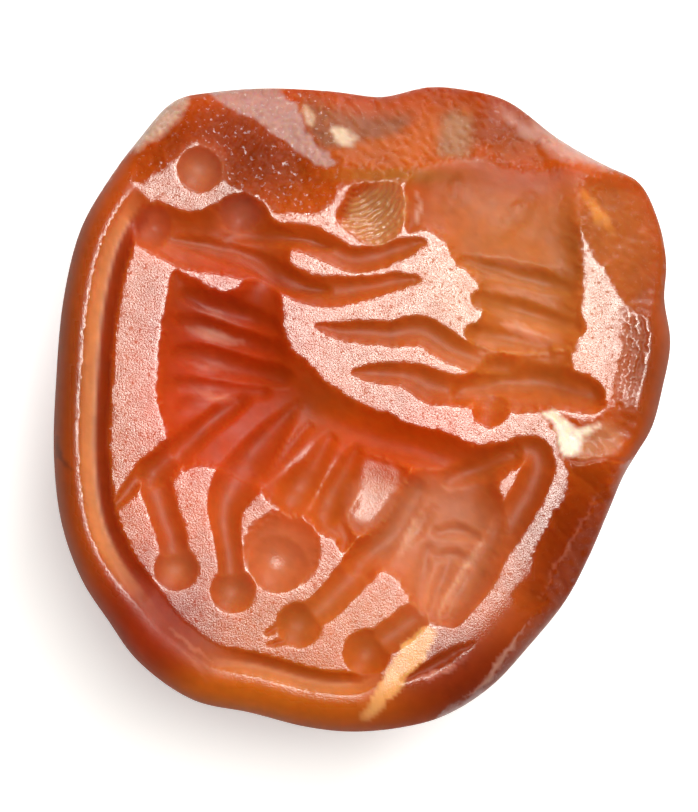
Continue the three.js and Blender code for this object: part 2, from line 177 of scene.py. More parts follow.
# Broad hollows of the picture: depth, breadth of the wall, outline
HOLLOWS = {
    "head": (0.34, 0.6, [(-4.58, 3.36), (-4.62, 3.6), (-4.56, 3.88), (-4.42, 4.02), (-4.2, 4.08),
        (-3.96, 4.06), (-3.72, 3.96), (-3.48, 3.88), (-3.28, 3.92), (-3.02, 4.0), (-2.76, 4.14),
        (-2.48, 4.26), (-2.14, 4.2), (-1.9, 3.96), (-1.76, 3.72), (-1.44, 3.58), (-1.0, 3.48),
        (-0.56, 3.24), (-0.72, 3.12), (-1.08, 3.18), (-1.36, 3.2), (-1.48, 3.04), (-1.44, 2.84),
        (-1.16, 2.62), (-0.64, 2.4), (-0.64, 2.24), (-1.12, 2.18), (-1.56, 2.26), (-2.0, 2.38),
        (-2.28, 2.54), (-2.64, 2.64), (-3.0, 2.72), (-3.36, 2.74), (-3.72, 2.84), (-3.94, 2.96),
        (-4.18, 3.08), (-4.4, 3.18)]),
    "neck": (0.4, 0.9, [(-3.76, 2.72), (-3.52, 2.64), (-3.28, 2.54), (-3.04, 2.4), (-2.74, 2.3),
        (-2.48, 2.36), (-2.28, 2.6), (-2.0, 2.72), (-1.72, 2.56), (-1.6, 2.16), (-1.6, 1.84),
        (-1.58, 1.6), (-1.48, 1.3), (-1.26, 1.0), (-1.02, 0.76), (-0.72, 0.5), (-0.4, 0.28),
        (-0.04, -0.24), (-0.24, -0.84), (-0.92, -0.84), (-1.44, -1.0), (-1.92, -1.52), (-2.44, -1.4),
        (-2.9, -1.22), (-3.24, -1.14), (-3.56, -1.24), (-3.8, -0.84), (-3.92, -0.34), (-4.08, 0.2),
        (-4.04, 0.68), (-4.04, 1.16), (-3.98, 1.64), (-3.88, 2.12)]),
    "body": (0.44, 0.8, [(-1.32, 1.04), (-0.72, 0.48), (-0.4, 0.26), (-0.08, 0.1), (0.24, -0.06),
        (0.56, -0.12), (0.76, -0.26), (1.18, -0.38), (1.66, -0.5), (2.08, -0.7), (2.4, -0.76),
        (2.78, -0.7), (3.16, -0.76), (3.2, -1.04), (2.9, -1.3), (2.7, -1.56), (2.74, -2.12),
        (2.52, -2.2), (2.08, -1.84), (1.76, -1.48), (1.0, -1.28), (0.36, -1.12), (-0.24, -0.96),
        (-0.72, -0.8), (-1.32, -0.64), (-1.64, -0.04)]),
    "ribs": (0.28, 0.45, [(-1.52, -0.24), (-0.44, -0.44), (0.6, -1.08), (0.2, -1.64), (-0.2, -2.12),
        (-0.12, -2.64), (-0.34, -2.86), (-0.6, -2.58), (-0.86, -2.48), (-1.1, -2.2), (-1.28, -2.14),
        (-1.48, -2.18), (-1.66, -2.0), (-1.96, -1.72), (-2.08, -1.4), (-1.84, -0.84)]),
    "plate": (0.22, 0.3, [(0.08, -0.84), (0.96, -1.16), (0.8, -1.84), (0.44, -2.36), (-0.08, -2.56),
        (-0.36, -2.16), (-0.16, -1.64)]),
    "haunch": (0.34, 0.7, [(0.76, -1.44), (1.24, -1.08), (2.24, -1.24), (2.76, -1.72), (2.88, -2.24),
        (2.76, -2.8), (2.56, -3.28), (2.32, -3.8), (1.92, -4.2), (1.48, -4.32), (1.16, -4.08),
        (0.86, -3.64), (0.72, -3.4), (0.38, -3.26), (0.08, -3.44), (-0.34, -3.16), (-0.24, -2.76),
        (0.08, -2.48), (0.48, -1.96)]),
    "inverted shoulder": (0.3, 1.1, [(0.92, 3.5), (1.16, 3.56), (1.42, 3.5), (1.62, 3.4),
        (1.74, 3.18), (1.86, 2.96), (2.08, 2.8), (2.56, 2.84), (3.58, 2.68), (4.32, 2.76), (4.34, 3.38),
        (4.36, 3.64), (4.56, 4.06), (4.76, 4.56), (4.84, 5.2), (3.56, 5.36), (2.52, 5.36), (1.56, 5.24),
        (1.08, 4.96), (0.88, 4.52), (0.84, 4.2), (0.82, 3.84)]),
    "inverted neck": (0.24, 0.8, [(1.86, 2.96), (2.08, 2.74), (2.32, 2.48), (2.36, 2.1), (2.38, 1.84),
        (2.24, 1.62), (2.12, 1.42), (2.32, 1.12), (2.76, 1.04), (3.46, 1.04), (4.14, 1.12), (4.24, 1.34),
        (4.44, 1.52), (4.42, 1.68), (4.32, 1.98), (4.36, 2.3), (4.36, 2.86), (3.58, 2.96),
        (2.56, 3.06)]),
    "inverted head": (0.3, 0.6, [(2.16, 0.72), (2.6, 1.04), (3.46, 1.16), (4.14, 1.16), (4.16, 0.84),
        (4.24, 0.7), (4.46, 0.64), (4.68, 0.5), (4.82, 0.26), (4.84, 0.06), (4.66, -0.08),
        (4.32, -0.08), (3.96, -0.04), (3.68, -0.04), (3.24, -0.08), (3.0, -0.08), (2.72, -0.04),
        (2.44, 0.0), (2.16, 0.04), (1.8, 0.08), (1.8, 0.44)]),
}

# Cuts of the picture: share of depth to half width, then x, y and half width along the cut
STANDING_GOAT = {
    "muzzle": (0.55, (-4.22, 3.6, 0.42)),
    "eye": (0.55, (-2.44, 3.86, 0.42)),
    "upper horn": (0.46, (-2.74, 3.36, 0.08), (-2.08, 3.46, 0.18), (-1.48, 3.42, 0.24),
        (-1.02, 3.34, 0.27), (-0.64, 3.16, 0.25), (-0.24, 2.96, 0.23), (0.32, 3.02, 0.22),
        (0.8, 3.18, 0.18), (1.1, 3.28, 0.1), (1.24, 3.3, 0.04)),
    "lower horn": (0.46, (-3.94, 3.36, 0.08), (-3.44, 3.28, 0.16), (-2.74, 3.1, 0.22),
        (-2.04, 2.86, 0.25), (-1.48, 2.54, 0.27), (-1.08, 2.36, 0.28), (-0.74, 2.31, 0.28),
        (-0.34, 2.34, 0.26), (0.2, 2.42, 0.21), (0.66, 2.52, 0.16), (0.98, 2.54, 0.09),
        (1.14, 2.54, 0.04)),
    "mane 1": (0.52, (-3.52, 2.26, 0.14), (-3.06, 2.12, 0.24), (-2.44, 1.9, 0.24), (-1.8, 1.66, 0.18)),
    "mane 2": (0.52, (-3.6, 1.72, 0.14), (-3.06, 1.56, 0.26), (-2.44, 1.36, 0.24), (-1.72, 1.16, 0.18)),
    "mane 3": (0.52, (-3.62, 1.08, 0.18), (-3.08, 0.96, 0.34), (-2.34, 0.76, 0.3), (-1.56, 0.62, 0.2)),
    "mane 4": (0.44, (-3.64, 0.48, 0.14), (-2.94, 0.38, 0.26), (-2.0, 0.32, 0.18)),
    "mane 5": (0.26, (-3.56, 0.0, 0.14), (-3.14, 0.08, 0.24), (-2.6, 0.14, 0.16)),
    "foreleg": (0.8, (-2.3, 0.24, 0.12), (-2.52, 0.1, 0.21), (-3.24, -0.48, 0.24),
        (-3.88, -1.04, 0.3), (-4.14, -1.3, 0.34)),
    "foreshin": (0.44, (-4.16, -1.32, 0.32), (-3.98, -2.0, 0.29), (-3.8, -2.54, 0.28),
        (-3.72, -2.96, 0.28)),
    "knee spur": (0.5, (-4.32, -1.2, 0.18), (-4.68, -1.68, 0.14), (-5.02, -2.1, 0.04)),
    "forehoof": (0.46, (-3.7, -3.2, 0.42)),
    "second foreleg": (0.5, (-1.24, 0.12, 0.06), (-1.56, -0.24, 0.2), (-1.88, -0.68, 0.36),
        (-2.24, -1.16, 0.46), (-2.52, -1.52, 0.44), (-2.72, -1.98, 0.34), (-2.7, -2.5, 0.25),
        (-2.62, -3.04, 0.24), (-2.6, -3.36, 0.24)),
    "second forehoof": (0.46, (-2.57, -3.64, 0.43)),
    "rib 1": (0.5, (-1.08, -0.36, 0.1), (-1.44, -0.8, 0.14), (-1.88, -1.32, 0.12)),
    "rib 2": (0.38, (-0.64, -0.64, 0.16), (-0.98, -1.2, 0.26), (-1.26, -1.64, 0.4),
        (-1.36, -1.8, 0.34)),
    "rib 3": (0.38, (-0.12, -0.84, 0.16), (-0.38, -1.4, 0.26), (-0.64, -1.9, 0.36),
        (-0.74, -2.08, 0.3)),
    "thigh": (0.36, (1.04, -1.64, 0.28), (0.64, -2.32, 0.36), (0.1, -2.98, 0.36), (-0.28, -3.44, 0.32),
        (-0.68, -3.88, 0.3), (-1.0, -4.14, 0.28)),
    "hindhoof": (0.46, (-1.26, -4.32, 0.44)),
    "hind spur": (0.5, (-1.56, -4.28, 0.1), (-1.9, -4.5, 0.04)),
    "second hind spur": (0.5, (-1.52, -4.62, 0.08), (-1.88, -4.72, 0.03)),
    "haunch lens": (0.42, (1.44, -1.98, 0.04), (1.16, -2.34, 0.16), (0.84, -2.74, 0.06)),
    "haunch arc 1": (0.46, (1.48, -2.5, 0.1), (1.92, -2.46, 0.16), (2.34, -2.6, 0.1)),
    "haunch arc 2": (0.46, (1.48, -2.96, 0.08), (1.86, -2.96, 0.14), (2.2, -3.08, 0.08)),
    "haunch line 1": (0.36, (1.32, -2.8, 0.12), (1.16, -3.44, 0.18), (1.08, -4.0, 0.12)),
    "haunch line 2": (0.36, (1.8, -3.04, 0.12), (1.56, -3.54, 0.16), (1.36, -4.08, 0.12)),
    "shank": (0.46, (2.7, -2.7, 0.26), (2.3, -3.4, 0.32), (1.8, -4.12, 0.24)),
    "second hindleg": (0.42, (1.02, -4.2, 0.3), (0.68, -4.46, 0.31), (0.38, -4.68, 0.3)),
    "second hindhoof": (0.46, (0.1, -4.88, 0.46)),
    "rump": (0.4, (1.76, -1.4, 0.2), (2.52, -1.12, 0.26), (3.24, -0.86, 0.24)),
    "tail": (0.44, (3.12, -0.84, 0.24), (3.44, -0.9, 0.3), (3.5, -1.22, 0.32), (3.34, -1.64, 0.33),
        (3.06, -2.12, 0.32), (2.76, -2.64, 0.28)),
}
INVERTED_GOAT = {
    "mane 1": (0.5, (2.0, 2.92, 0.12), (2.76, 2.76, 0.22), (3.56, 2.54, 0.22), (4.12, 2.38, 0.16)),
    "mane 2": (0.5, (2.36, 2.16, 0.18), (3.14, 1.94, 0.23), (3.86, 1.72, 0.2), (4.24, 1.6, 0.14)),
    "mane 3": (0.45, (2.24, 1.48, 0.18), (2.96, 1.32, 0.24), (3.66, 1.16, 0.2)),
    "nape": (0.1, (4.06, 4.06, 0.18), (4.08, 3.36, 0.26), (4.06, 2.36, 0.3), (4.0, 1.36, 0.26)),
    "temple": (0.4, (2.28, 0.44, 0.28), (3.16, 0.52, 0.34), (3.96, 0.44, 0.34), (4.6, 0.24, 0.24)),
    "eye": (0.5, (2.56, 0.0, 0.36)),
    "upper horn": (0.46, (-0.9, 1.64, 0.04), (-0.64, 1.58, 0.12), (-0.34, 1.52, 0.18),
        (0.12, 1.5, 0.21), (0.6, 1.48, 0.24), (1.0, 1.54, 0.28), (1.24, 1.52, 0.28),
        (1.5, 1.36, 0.29), (1.8, 1.16, 0.27), (2.26, 1.0, 0.28), (2.86, 0.84, 0.26)),
    "lower horn": (0.46, (-0.18, 0.72, 0.04), (0.08, 0.7, 0.14), (0.54, 0.68, 0.2), (0.86, 0.66, 0.22),
        (1.08, 0.58, 0.28), (1.36, 0.44, 0.33), (1.72, 0.36, 0.31), (2.12, 0.36, 0.28),
        (2.56, 0.4, 0.26), (3.06, 0.48, 0.24)),
    "leg root": (0.16, (3.38, 4.18, 0.08), (3.12, 3.86, 0.2), (2.76, 3.44, 0.1)),
    "flank": (0.14, (1.9, 4.5, 0.08), (1.74, 4.0, 0.12), (1.56, 3.52, 0.08)),
}
FILLINGS = {
    "ball by head": (0.5, (-3.22, 4.76, 0.44)),
    "ball under belly": (0.46, (-1.65, -3.04, 0.62)),
    "ring over ball": (0.2, (-1.6, -2.84, 0.76)),
    "rim groove": (0.6, (0.8, -5.44, 0.04), (1.5, -5.08, 0.12), (2.2, -4.7, 0.04)),
    "crack": (0.9, (4.02, -1.0, 0.03), (4.34, -1.08, 0.06), (4.82, -1.02, 0.05), (5.32, -1.06, 0.04)),
}

# Flakes lost: slope of the scar in from its edge, roughness, waves of it to a millimetre, edge of the scar
SCARS = {
    "end break": (19, 0.008, 2.0, [(-5.04, 4.36), (-4.72, 4.6), (-4.42, 4.5), (-4.24, 4.66),
        (-3.98, 4.78), (-3.88, 4.92), (-3.66, 5.04), (-3.52, 5.22), (-3.4, 5.3), (-3.14, 5.22),
        (-2.9, 4.96), (-2.76, 4.6), (-2.66, 4.48), (-2.44, 4.38), (-2.1, 4.22), (-1.88, 4.1),
        (-1.76, 3.92), (-1.44, 3.92), (-1.08, 3.88), (-0.8, 4.0), (-0.58, 4.22), (-0.44, 4.42),
        (-0.2, 4.48), (0.26, 4.52), (0.76, 4.52), (1.08, 4.52), (1.5, 4.52), (1.9, 4.46),
        (2.2, 4.38), (2.48, 4.22), (2.7, 4.04), (3.08, 4.08), (3.36, 4.06), (3.66, 3.98), (3.92, 4.02),
        (4.12, 4.16), (4.3, 4.36), (4.56, 4.68), (5.56, 5.76), (5.56, 8.96), (-6.04, 8.96),
        (-6.04, 4.36)]),
    "corner": (23, 0.008, 1.2, [(3.92, 4.64), (4.08, 3.92), (4.42, 3.44), (4.7, 2.96), (4.84, 2.8),
        (5.02, 2.46), (5.22, 2.14), (5.32, 2.0), (5.62, 1.82), (5.88, 1.76), (6.76, 1.64), (7.96, 3.16),
        (6.76, 6.96), (4.56, 6.36), (4.36, 5.16)]),
    "right chip": (13, 0.03, 5.0, [(3.58, -0.1), (3.86, -0.08), (4.12, -0.24), (4.56, -0.32),
        (4.84, -0.12), (5.08, 0.12), (5.66, -0.04), (6.56, -0.44), (6.56, -1.08), (5.32, -1.08),
        (4.82, -1.04), (4.34, -1.08), (4.02, -1.0), (3.92, -0.7), (3.88, -0.48)]),
    "right side": (31, 0.02, 2.2, [(4.02, -0.98), (4.12, -1.34), (4.1, -1.62), (4.0, -1.9),
        (3.88, -2.08), (3.7, -2.44), (3.56, -2.68), (3.4, -3.02), (3.24, -3.38), (3.04, -3.68),
        (3.02, -4.04), (3.18, -4.32), (2.9, -4.82), (2.68, -5.2), (2.12, -5.78), (1.72, -6.16),
        (1.56, -7.04), (3.96, -7.04), (7.56, -4.64), (7.56, -1.0), (5.32, -1.06), (4.82, -1.04),
        (4.34, -1.1)]),
    "left bevel": (36, 0.004, 1.5, [(-5.24, 4.36), (-4.72, 5.0), (-4.32, 5.28), (-3.88, 5.58),
        (-3.56, 5.8), (-3.48, 6.08), (-3.52, 6.4), (-3.64, 7.56), (-6.44, 7.56), (-6.44, 3.76)]),
    "pink end": (24, 0.005, 1.5, [(-3.24, 6.56), (-3.0, 6.16), (-2.68, 5.98), (-2.24, 5.8),
        (-1.64, 5.42), (-1.32, 5.16), (-1.0, 4.9), (-0.8, 4.78), (-0.48, 4.76), (0.36, 4.96),
        (1.16, 5.76), (1.16, 8.76), (-3.64, 8.76)]),
    "bore mouth": (30, 0.005, 2.0, [(-0.88, 5.16), (-0.56, 5.04), (-0.34, 4.9), (0.0, 4.8),
        (0.6, 4.77), (1.22, 4.84), (1.66, 4.94), (2.08, 5.04), (2.44, 5.16), (2.84, 5.44), (3.36, 6.16),
        (3.56, 8.96), (-1.44, 8.96), (-1.12, 5.76)]),
    "far end": (30, 0.008, 2.0, [(1.56, 6.96), (2.64, 4.96), (3.04, 4.82), (3.44, 4.76), (4.14, 4.84),
        (4.54, 4.86), (4.86, 4.8), (5.4, 4.6), (6.36, 4.76), (6.36, 8.96), (2.56, 8.96)]),
    "right outer": (30, 0.01, 1.5, [(5.2, -1.08), (4.84, -1.6), (4.52, -2.1), (4.08, -2.74),
        (3.84, -3.34), (3.62, -3.92), (3.28, -4.28), (2.9, -4.82), (2.68, -5.2), (2.08, -5.78),
        (1.56, -6.08), (1.32, -7.04), (7.56, -7.04), (7.56, -0.84)]),
}
FURTHER_SCARS = ("left bevel", "pink end", "bore mouth", "far end", "right outer")
STREAK_DEPTH = 0.05
STREAK_WAVES = 0.7
STREAK_SLANT = (3, 1.4, 0.35)
GRIT_DEPTH = 0.014
GRIT_WAVES = 8.0
GRIT_END = -0.5
GRIT_FADE = 0.3
GRIT_LOW = 3.6

# A shell-like flake with ripples round the point it was struck from
SCOOP = [(-0.52, 3.8), (-0.34, 4.16), (-0.2, 4.42), (0.26, 4.5), (0.66, 4.48), (0.84, 4.16),
    (0.84, 3.8), (0.7, 3.48), (0.44, 3.26), (0.16, 3.24), (-0.12, 3.42), (-0.36, 3.6)]
SCOOP_DEPTH = 0.3
SCOOP_WALL = 0.7
SCOOP_STRUCK = (-0.2, 4.6)
SCOOP_RIPPLE = 0.022
SCOOP_RIPPLE_STEP = 0.115
SCOOP_BRINK = 0.03
RIPPLE_WAVES = 3.2
RIPPLE_WANDER = 0.05
RIPPLE_FROM = 0.05

# Marks drawn along a line: colour, strength, softness, then x, y and half width along it
MARKS = {
    "vein": ((232, 166, 100), 0.9, 0.06, (1.28, -4.56, 0.22), (0.96, -4.92, 0.28), (0.6, -5.44, 0.24),
        (0.2, -6.0, 0.16), (0.0, -6.2, 0.06)),
    # Painted glow: a golden spot of light painted in the corner scar, where light gathers in the stone
    "painted glow": ((255, 176, 84), 0.8, 0.2, (4.4, 4.32, 0.06), (4.56, 4.08, 0.14), (4.76, 3.82, 0.18),
        (5.0, 3.52, 0.06)),
    # Painted highlight: a pale pink line along the short groove in the lower right rim
    "rim groove": ((226, 150, 130), 0.7, 0.05, (0.9, -5.54, 0.02), (1.56, -5.24, 0.08),
        (2.2, -4.94, 0.02)),
    # Painted highlight along the crest of the lower right rim
    "crest highlight": ((230, 176, 156), 0.7, 0.04, (3.36, -4.16, 0.02), (3.06, -4.64, 0.05), (2.76, -5.08, 0.06),
        (2.44, -5.48, 0.06), (2.04, -5.8, 0.02)),
    # Painted highlight along a facet edge of the broken right side
    "side highlight line": ((214, 130, 100), 0.5, 0.04, (4.76, -1.72, 0.02), (4.34, -2.4, 0.04),
        (3.88, -3.16, 0.04), (3.54, -3.8, 0.02)),
    # Painted highlight along the ridge of the haunch
    "haunch ridge highlight": ((240, 186, 156), 0.5, 0.1, (2.44, -2.64, 0.06), (2.16, -3.08, 0.12),
        (1.8, -3.64, 0.1), (1.48, -4.28, 0.04)),
    # Painted highlight along the lens-shaped cut in the haunch
    "haunch lens": ((228, 172, 142), 0.5, 0.08, (1.24, -2.12, 0.06), (0.98, -2.52, 0.14),
        (0.76, -2.92, 0.08)),
    # Painted highlights on the folds of the standing goat's mane
    "mane highlight 1": ((232, 150, 122), 0.45, 0.1, (-3.32, 2.02, 0.04), (-2.9, 1.86, 0.1),
        (-2.48, 1.72, 0.04)),
    "mane highlight 2": ((238, 168, 140), 0.55, 0.1, (-3.48, 1.62, 0.06), (-2.98, 1.46, 0.14),
        (-2.4, 1.3, 0.06)),
    "mane highlight 3": ((226, 130, 104), 0.45, 0.1, (-3.52, 0.92, 0.04), (-3.0, 0.82, 0.12),
        (-2.48, 0.7, 0.04)),
    "mane highlight 4": ((234, 150, 124), 0.5, 0.1, (-3.4, 0.4, 0.06), (-2.96, 0.24, 0.14),
        (-2.48, 0.12, 0.06)),
    # Painted highlights on the facets between the folds of the inverted goat's mane
    "inverted highlight 1": ((230, 158, 126), 0.5, 0.1, (2.32, 3.02, 0.04), (3.0, 2.92, 0.1),
        (3.6, 2.8, 0.04)),
    "inverted highlight 2": ((234, 164, 132), 0.5, 0.1, (2.48, 2.4, 0.06), (3.02, 2.3, 0.1),
        (3.56, 2.18, 0.04)),
    "inverted highlight 3": ((238, 170, 142), 0.55, 0.1, (2.84, 1.66, 0.08), (3.32, 1.5, 0.16),
        (3.68, 1.3, 0.08)),
    "scratch": ((224, 146, 112), 0.5, 0.05, (-3.84, -4.38, 0.03), (-3.36, -4.78, 0.06),
        (-2.96, -5.08, 0.03)),
    "second scratch": ((216, 130, 92), 0.45, 0.05, (-3.56, -4.84, 0.03), (-3.26, -5.18, 0.06),
        (-3.12, -5.48, 0.03)),
    "rim stain": ((92, 44, 22), 0.7, 0.04, (-6.14, -0.56, 0.06), (-6.02, -0.96, 0.08),
        (-5.84, -1.24, 0.06)),
    "pit edge": ((240, 200, 180), 0.5, 0.05, (1.12, 4.24, 0.06), (1.18, 4.0, 0.08), (1.1, 3.72, 0.06)),
}

# Colours of the stone as they look on screen: centre, reach, colour, strength
TONE_GAIN = (0.98, 1.18, 0.55)
STONE_COLOUR = (184, 72, 24)
BACK_COLOUR = (168, 62, 22)
TONES = {
    "inverted goat": ((3.16, 2.56), (2.0, 2.4), (190, 96, 52), 0.85),
    "corner": ((5.16, 3.56), (1.2, 1.6), (164, 78, 44), 0.85),
    "right rim": ((5.86, 0.76), (0.7, 1.8), (136, 54, 24), 0.85),
    "haunch": ((1.66, -3.04), (1.5, 1.7), (196, 94, 74), 0.85),
    "body": ((0.76, -0.64), (1.9, 0.76), (196, 60, 10), 0.9),
    "neck": ((-2.74, 1.06), (1.8, 2.2), (174, 38, 4), 0.9),
    "chest": ((-2.94, -0.64), (1.5, 1.2), (194, 54, 18), 0.85),
    "forelegs": ((-3.44, -2.24), (1.2, 1.5), (196, 74, 40), 0.6),
    "lower left rim": ((-4.54, -4.24), (1.6, 1.2), (164, 54, 26), 0.85),
    # Painted shade: the left-facing rim darkened
    "left rim": ((-5.84, 0.36), (0.84, 4.6), (146, 60, 24), 0.85),
    "rough end": ((-2.44, 5.16), (2.2, 1.1), (132, 40, 12), 0.92),
    # Painted glow: the bottom rim made amber as if lit by light passing through the stone
    "bottom": ((-1.64, -5.74), (2.4, 0.72), (204, 96, 28), 0.9),
    # Painted shade: the broken right side darkened
    "right side": ((4.36, -3.04), (1.24, 2.0), (132, 36, 8), 0.92),
    "lower right rim": ((2.26, -5.44), (1.8, 1.12), (136, 36, 10), 0.9),
    "bore mouth": ((0.86, 5.16), (1.5, 0.48), (184, 82, 34), 0.9),
    "brown band": ((0.66, 4.64), (1.24, 0.18), (160, 88, 40), 0.8),
    "cut end": ((3.36, 4.72), (1.0, 0.52), (170, 62, 14), 0.85),
    "top": ((2.76, 5.76), (1.2, 0.68), (112, 38, 16), 0.85),
    # The pit's own colour, made paler in part as a painted highlight at its bottom
    "ball under belly": ((-1.64, -3.0), (0.72, 0.72), (208, 102, 92), 0.8),
    "lower left band": ((-4.04, -3.94), (1.0, 1.4), (150, 30, 10), 0.7),
    # Ball by head, muzzle and eye: the pits' own colour, made paler in part as painted highlights at their
    # bottoms
    "ball by head": ((-3.22, 4.76), (0.5, 0.5), (196, 96, 88), 0.85),
    "muzzle": ((-4.22, 3.6), (0.4, 0.4), (196, 84, 82), 0.75),
    "eye": ((-2.44, 3.86), (0.36, 0.36), (206, 94, 100), 0.85),
    "forehoof": ((-3.7, -3.2), (0.44, 0.44), (198, 96, 78), 0.8),
    "second forehoof": ((-2.58, -3.64), (0.44, 0.44), (196, 92, 74), 0.7),
    "hoofs": ((-0.84, -4.24), (1.8, 0.8), (200, 104, 70), 0.4),
}

# Patches of another colour: colour, strength, softness of the edge, outline
PATCHES = {
    # Painted reflection: the pale pink of this end facet
    "pink end": ((176, 132, 122), 0.9, 0.06, [(-3.16, 6.44), (-2.96, 6.16), (-2.64, 5.98), (-2.24, 5.8),
        (-1.64, 5.42), (-1.32, 5.16), (-1.0, 4.9), (-0.72, 4.78), (-0.52, 4.8), (-0.68, 5.12),
        (-0.92, 5.24), (-1.14, 5.52), (-1.24, 5.92), (-1.54, 6.32), (-2.0, 6.56), (-2.84, 6.6)]),
    "crescent": ((178, 86, 32), 0.8, 0.14, [(-0.52, 5.12), (0.02, 5.32), (0.44, 5.42), (0.92, 5.5),
        (1.08, 5.82), (1.24, 6.24), (1.54, 6.34), (2.06, 6.24), (2.16, 5.56), (2.12, 5.12), (1.86, 5.0),
        (1.24, 4.84), (0.6, 4.78), (-0.04, 4.8)]),
    "brown top": ((134, 82, 56), 0.8, 0.2, [(-1.24, 6.56), (-1.16, 5.92), (-1.08, 5.52), (-0.84, 5.24),
        (-0.34, 5.2), (0.16, 5.38), (0.76, 5.52), (1.0, 5.8), (1.16, 6.24), (1.16, 6.76)]),
    "deposit": ((222, 196, 170), 0.7, 0.12, [(-0.64, 5.6), (-0.4, 5.64), (-0.12, 5.4), (-0.2, 5.26),
        (-0.52, 5.32)]),
    "second deposit": ((222, 190, 160), 0.6, 0.1, [(-1.18, 6.08), (-1.06, 6.04), (-0.94, 5.72),
        (-1.04, 5.62), (-1.16, 5.84)]),
    "incrustation": ((150, 112, 84), 0.7, 0.25, [(1.68, 5.92), (2.16, 5.92), (2.2, 5.56), (2.12, 5.04),
        (1.64, 5.0), (1.56, 5.44)]),
    # Painted reflection: the whitish grey of the upper left bevel
    "left bevel": ((204, 172, 150), 0.75, 0.15, [(-4.56, 5.12), (-4.24, 5.32), (-3.84, 5.6),
        (-3.56, 5.82), (-3.48, 6.08), (-3.64, 6.24), (-4.04, 6.08), (-4.44, 5.56)]),
    # Painted reflection: the pale grey of the far end's facets
    "far end": ((204, 166, 152), 0.6, 0.2, [(2.76, 6.0), (3.0, 6.2), (3.72, 5.8), (4.36, 5.4),
        (5.0, 4.92), (4.92, 4.76), (4.56, 4.88), (3.96, 5.0), (3.16, 5.6)]),
    # The flake scar's golden colour, partly a painted highlight on its lit ripples
    "scoop": ((200, 132, 80), 0.75, 0.15, [(-0.36, 3.64), (-0.24, 4.0), (0.0, 4.28), (0.44, 4.48),
        (0.68, 4.48), (0.84, 4.16), (0.84, 3.8), (0.7, 3.48), (0.44, 3.26), (0.16, 3.24),
        (-0.12, 3.42)]),
    "milky haunch": ((200, 130, 98), 0.3, 0.5, [(0.76, -1.64), (1.56, -1.44), (2.56, -2.24),
        (2.48, -3.04), (2.0, -4.04), (1.36, -4.2), (0.86, -3.44), (0.36, -3.04), (0.52, -2.24)]),
    # Painted highlight on the flat between the ribs and the haunch
    "plate": ((210, 144, 116), 0.35, 0.3, [(-0.08, -1.52), (0.6, -1.56), (0.44, -2.08), (-0.04, -2.32),
        (-0.32, -2.08)]),
    "gold by chip": ((192, 122, 82), 0.75, 0.2, [(4.48, -0.48), (4.84, -0.24), (5.12, -0.4),
        (5.08, -0.88), (4.76, -1.0), (4.32, -1.0)]),
    "chip": ((255, 238, 216), 0.95, 0.1, [(3.58, -0.1), (3.86, -0.1), (4.12, -0.32), (4.22, -0.44),
        (4.56, -0.36), (4.7, -0.26), (4.48, -0.58), (4.32, -0.88), (4.02, -0.98), (3.92, -0.7),
        (3.88, -0.44)]),
}

# Dull places in the cuts (centre, reach), and how colour and sheen vary
DULL_PLACES = [((0.6, -0.6), (1.9, 0.9)), ((-2.0, 1.0), (1.0, 1.2))]
CLOUD = 0.14
CLOUD_WAVES = 0.7
FLECK = 0.1
FLECK_WAVES = 6.0
PATCH_FOOT = 6.9
PATCH_RISE = 0.3
SHEEN_BY_HEIGHT = [(-5.4, 0.68), (-3.4, 0.86), (0.0, 1.0), (2.0, 1.06)]
SHEEN_BLOTCH = 0.3
BLOTCH_WAVES = 5.0
# Painted shade: the stone darkened towards its silhouette, over the turned-down rim and up the sides
EDGE_PAINTED_SHADE = 0.45
DARK_SIDE = (2.4, -1.2)

# Where the worn ridge of the border loses its shine, and shiny places inside the cuts
RIDGE_FROM = 0.9
RIDGE_FADE = 0.5
SHINY_SHARE = 0.75
SHINY_SOFTNESS = 0.1
SHINY_PLACES = {
    "plate": [(0.0, -1.08), (0.72, -1.24), (0.6, -1.68), (0.24, -2.24), (-0.2, -2.16), (-0.16, -1.6)],
    "ball centre": [(-1.86, -2.92), (-1.68, -2.86), (-1.54, -2.98), (-1.56, -3.16), (-1.74, -3.22),
        (-1.88, -3.1)],
    "rib flat 1": [(-1.54, -1.32), (-1.32, -0.96), (-0.98, -0.72), (-1.04, -1.0), (-1.36, -1.4)],
    "rib flat 2": [(-0.92, -1.64), (-0.72, -1.2), (-0.48, -1.04), (-0.6, -1.4), (-0.82, -1.72)],
}

# Painted light on the outer wall and painted shade on the inner wall of the border groove, and edges of
# patches and marks
OUTER_WALL_PAINTED_LIGHT = (222, 128, 112)
INNER_WALL_PAINTED_SHADE = (150, 34, 8)
OUTER_LIGHT_STRENGTH = 0.75
INNER_SHADE_STRENGTH = 0.7
WALL_REACH = 1.15
WALL_SOFTNESS = 0.3
WALL_CHANGE = 4
WANDER = 0.08
WANDER_WAVES = 3.0
PATCH_REACH = 1.0
MARK_SHARE = 0.5
DARKEST = 0.002
PALEST = 0.95

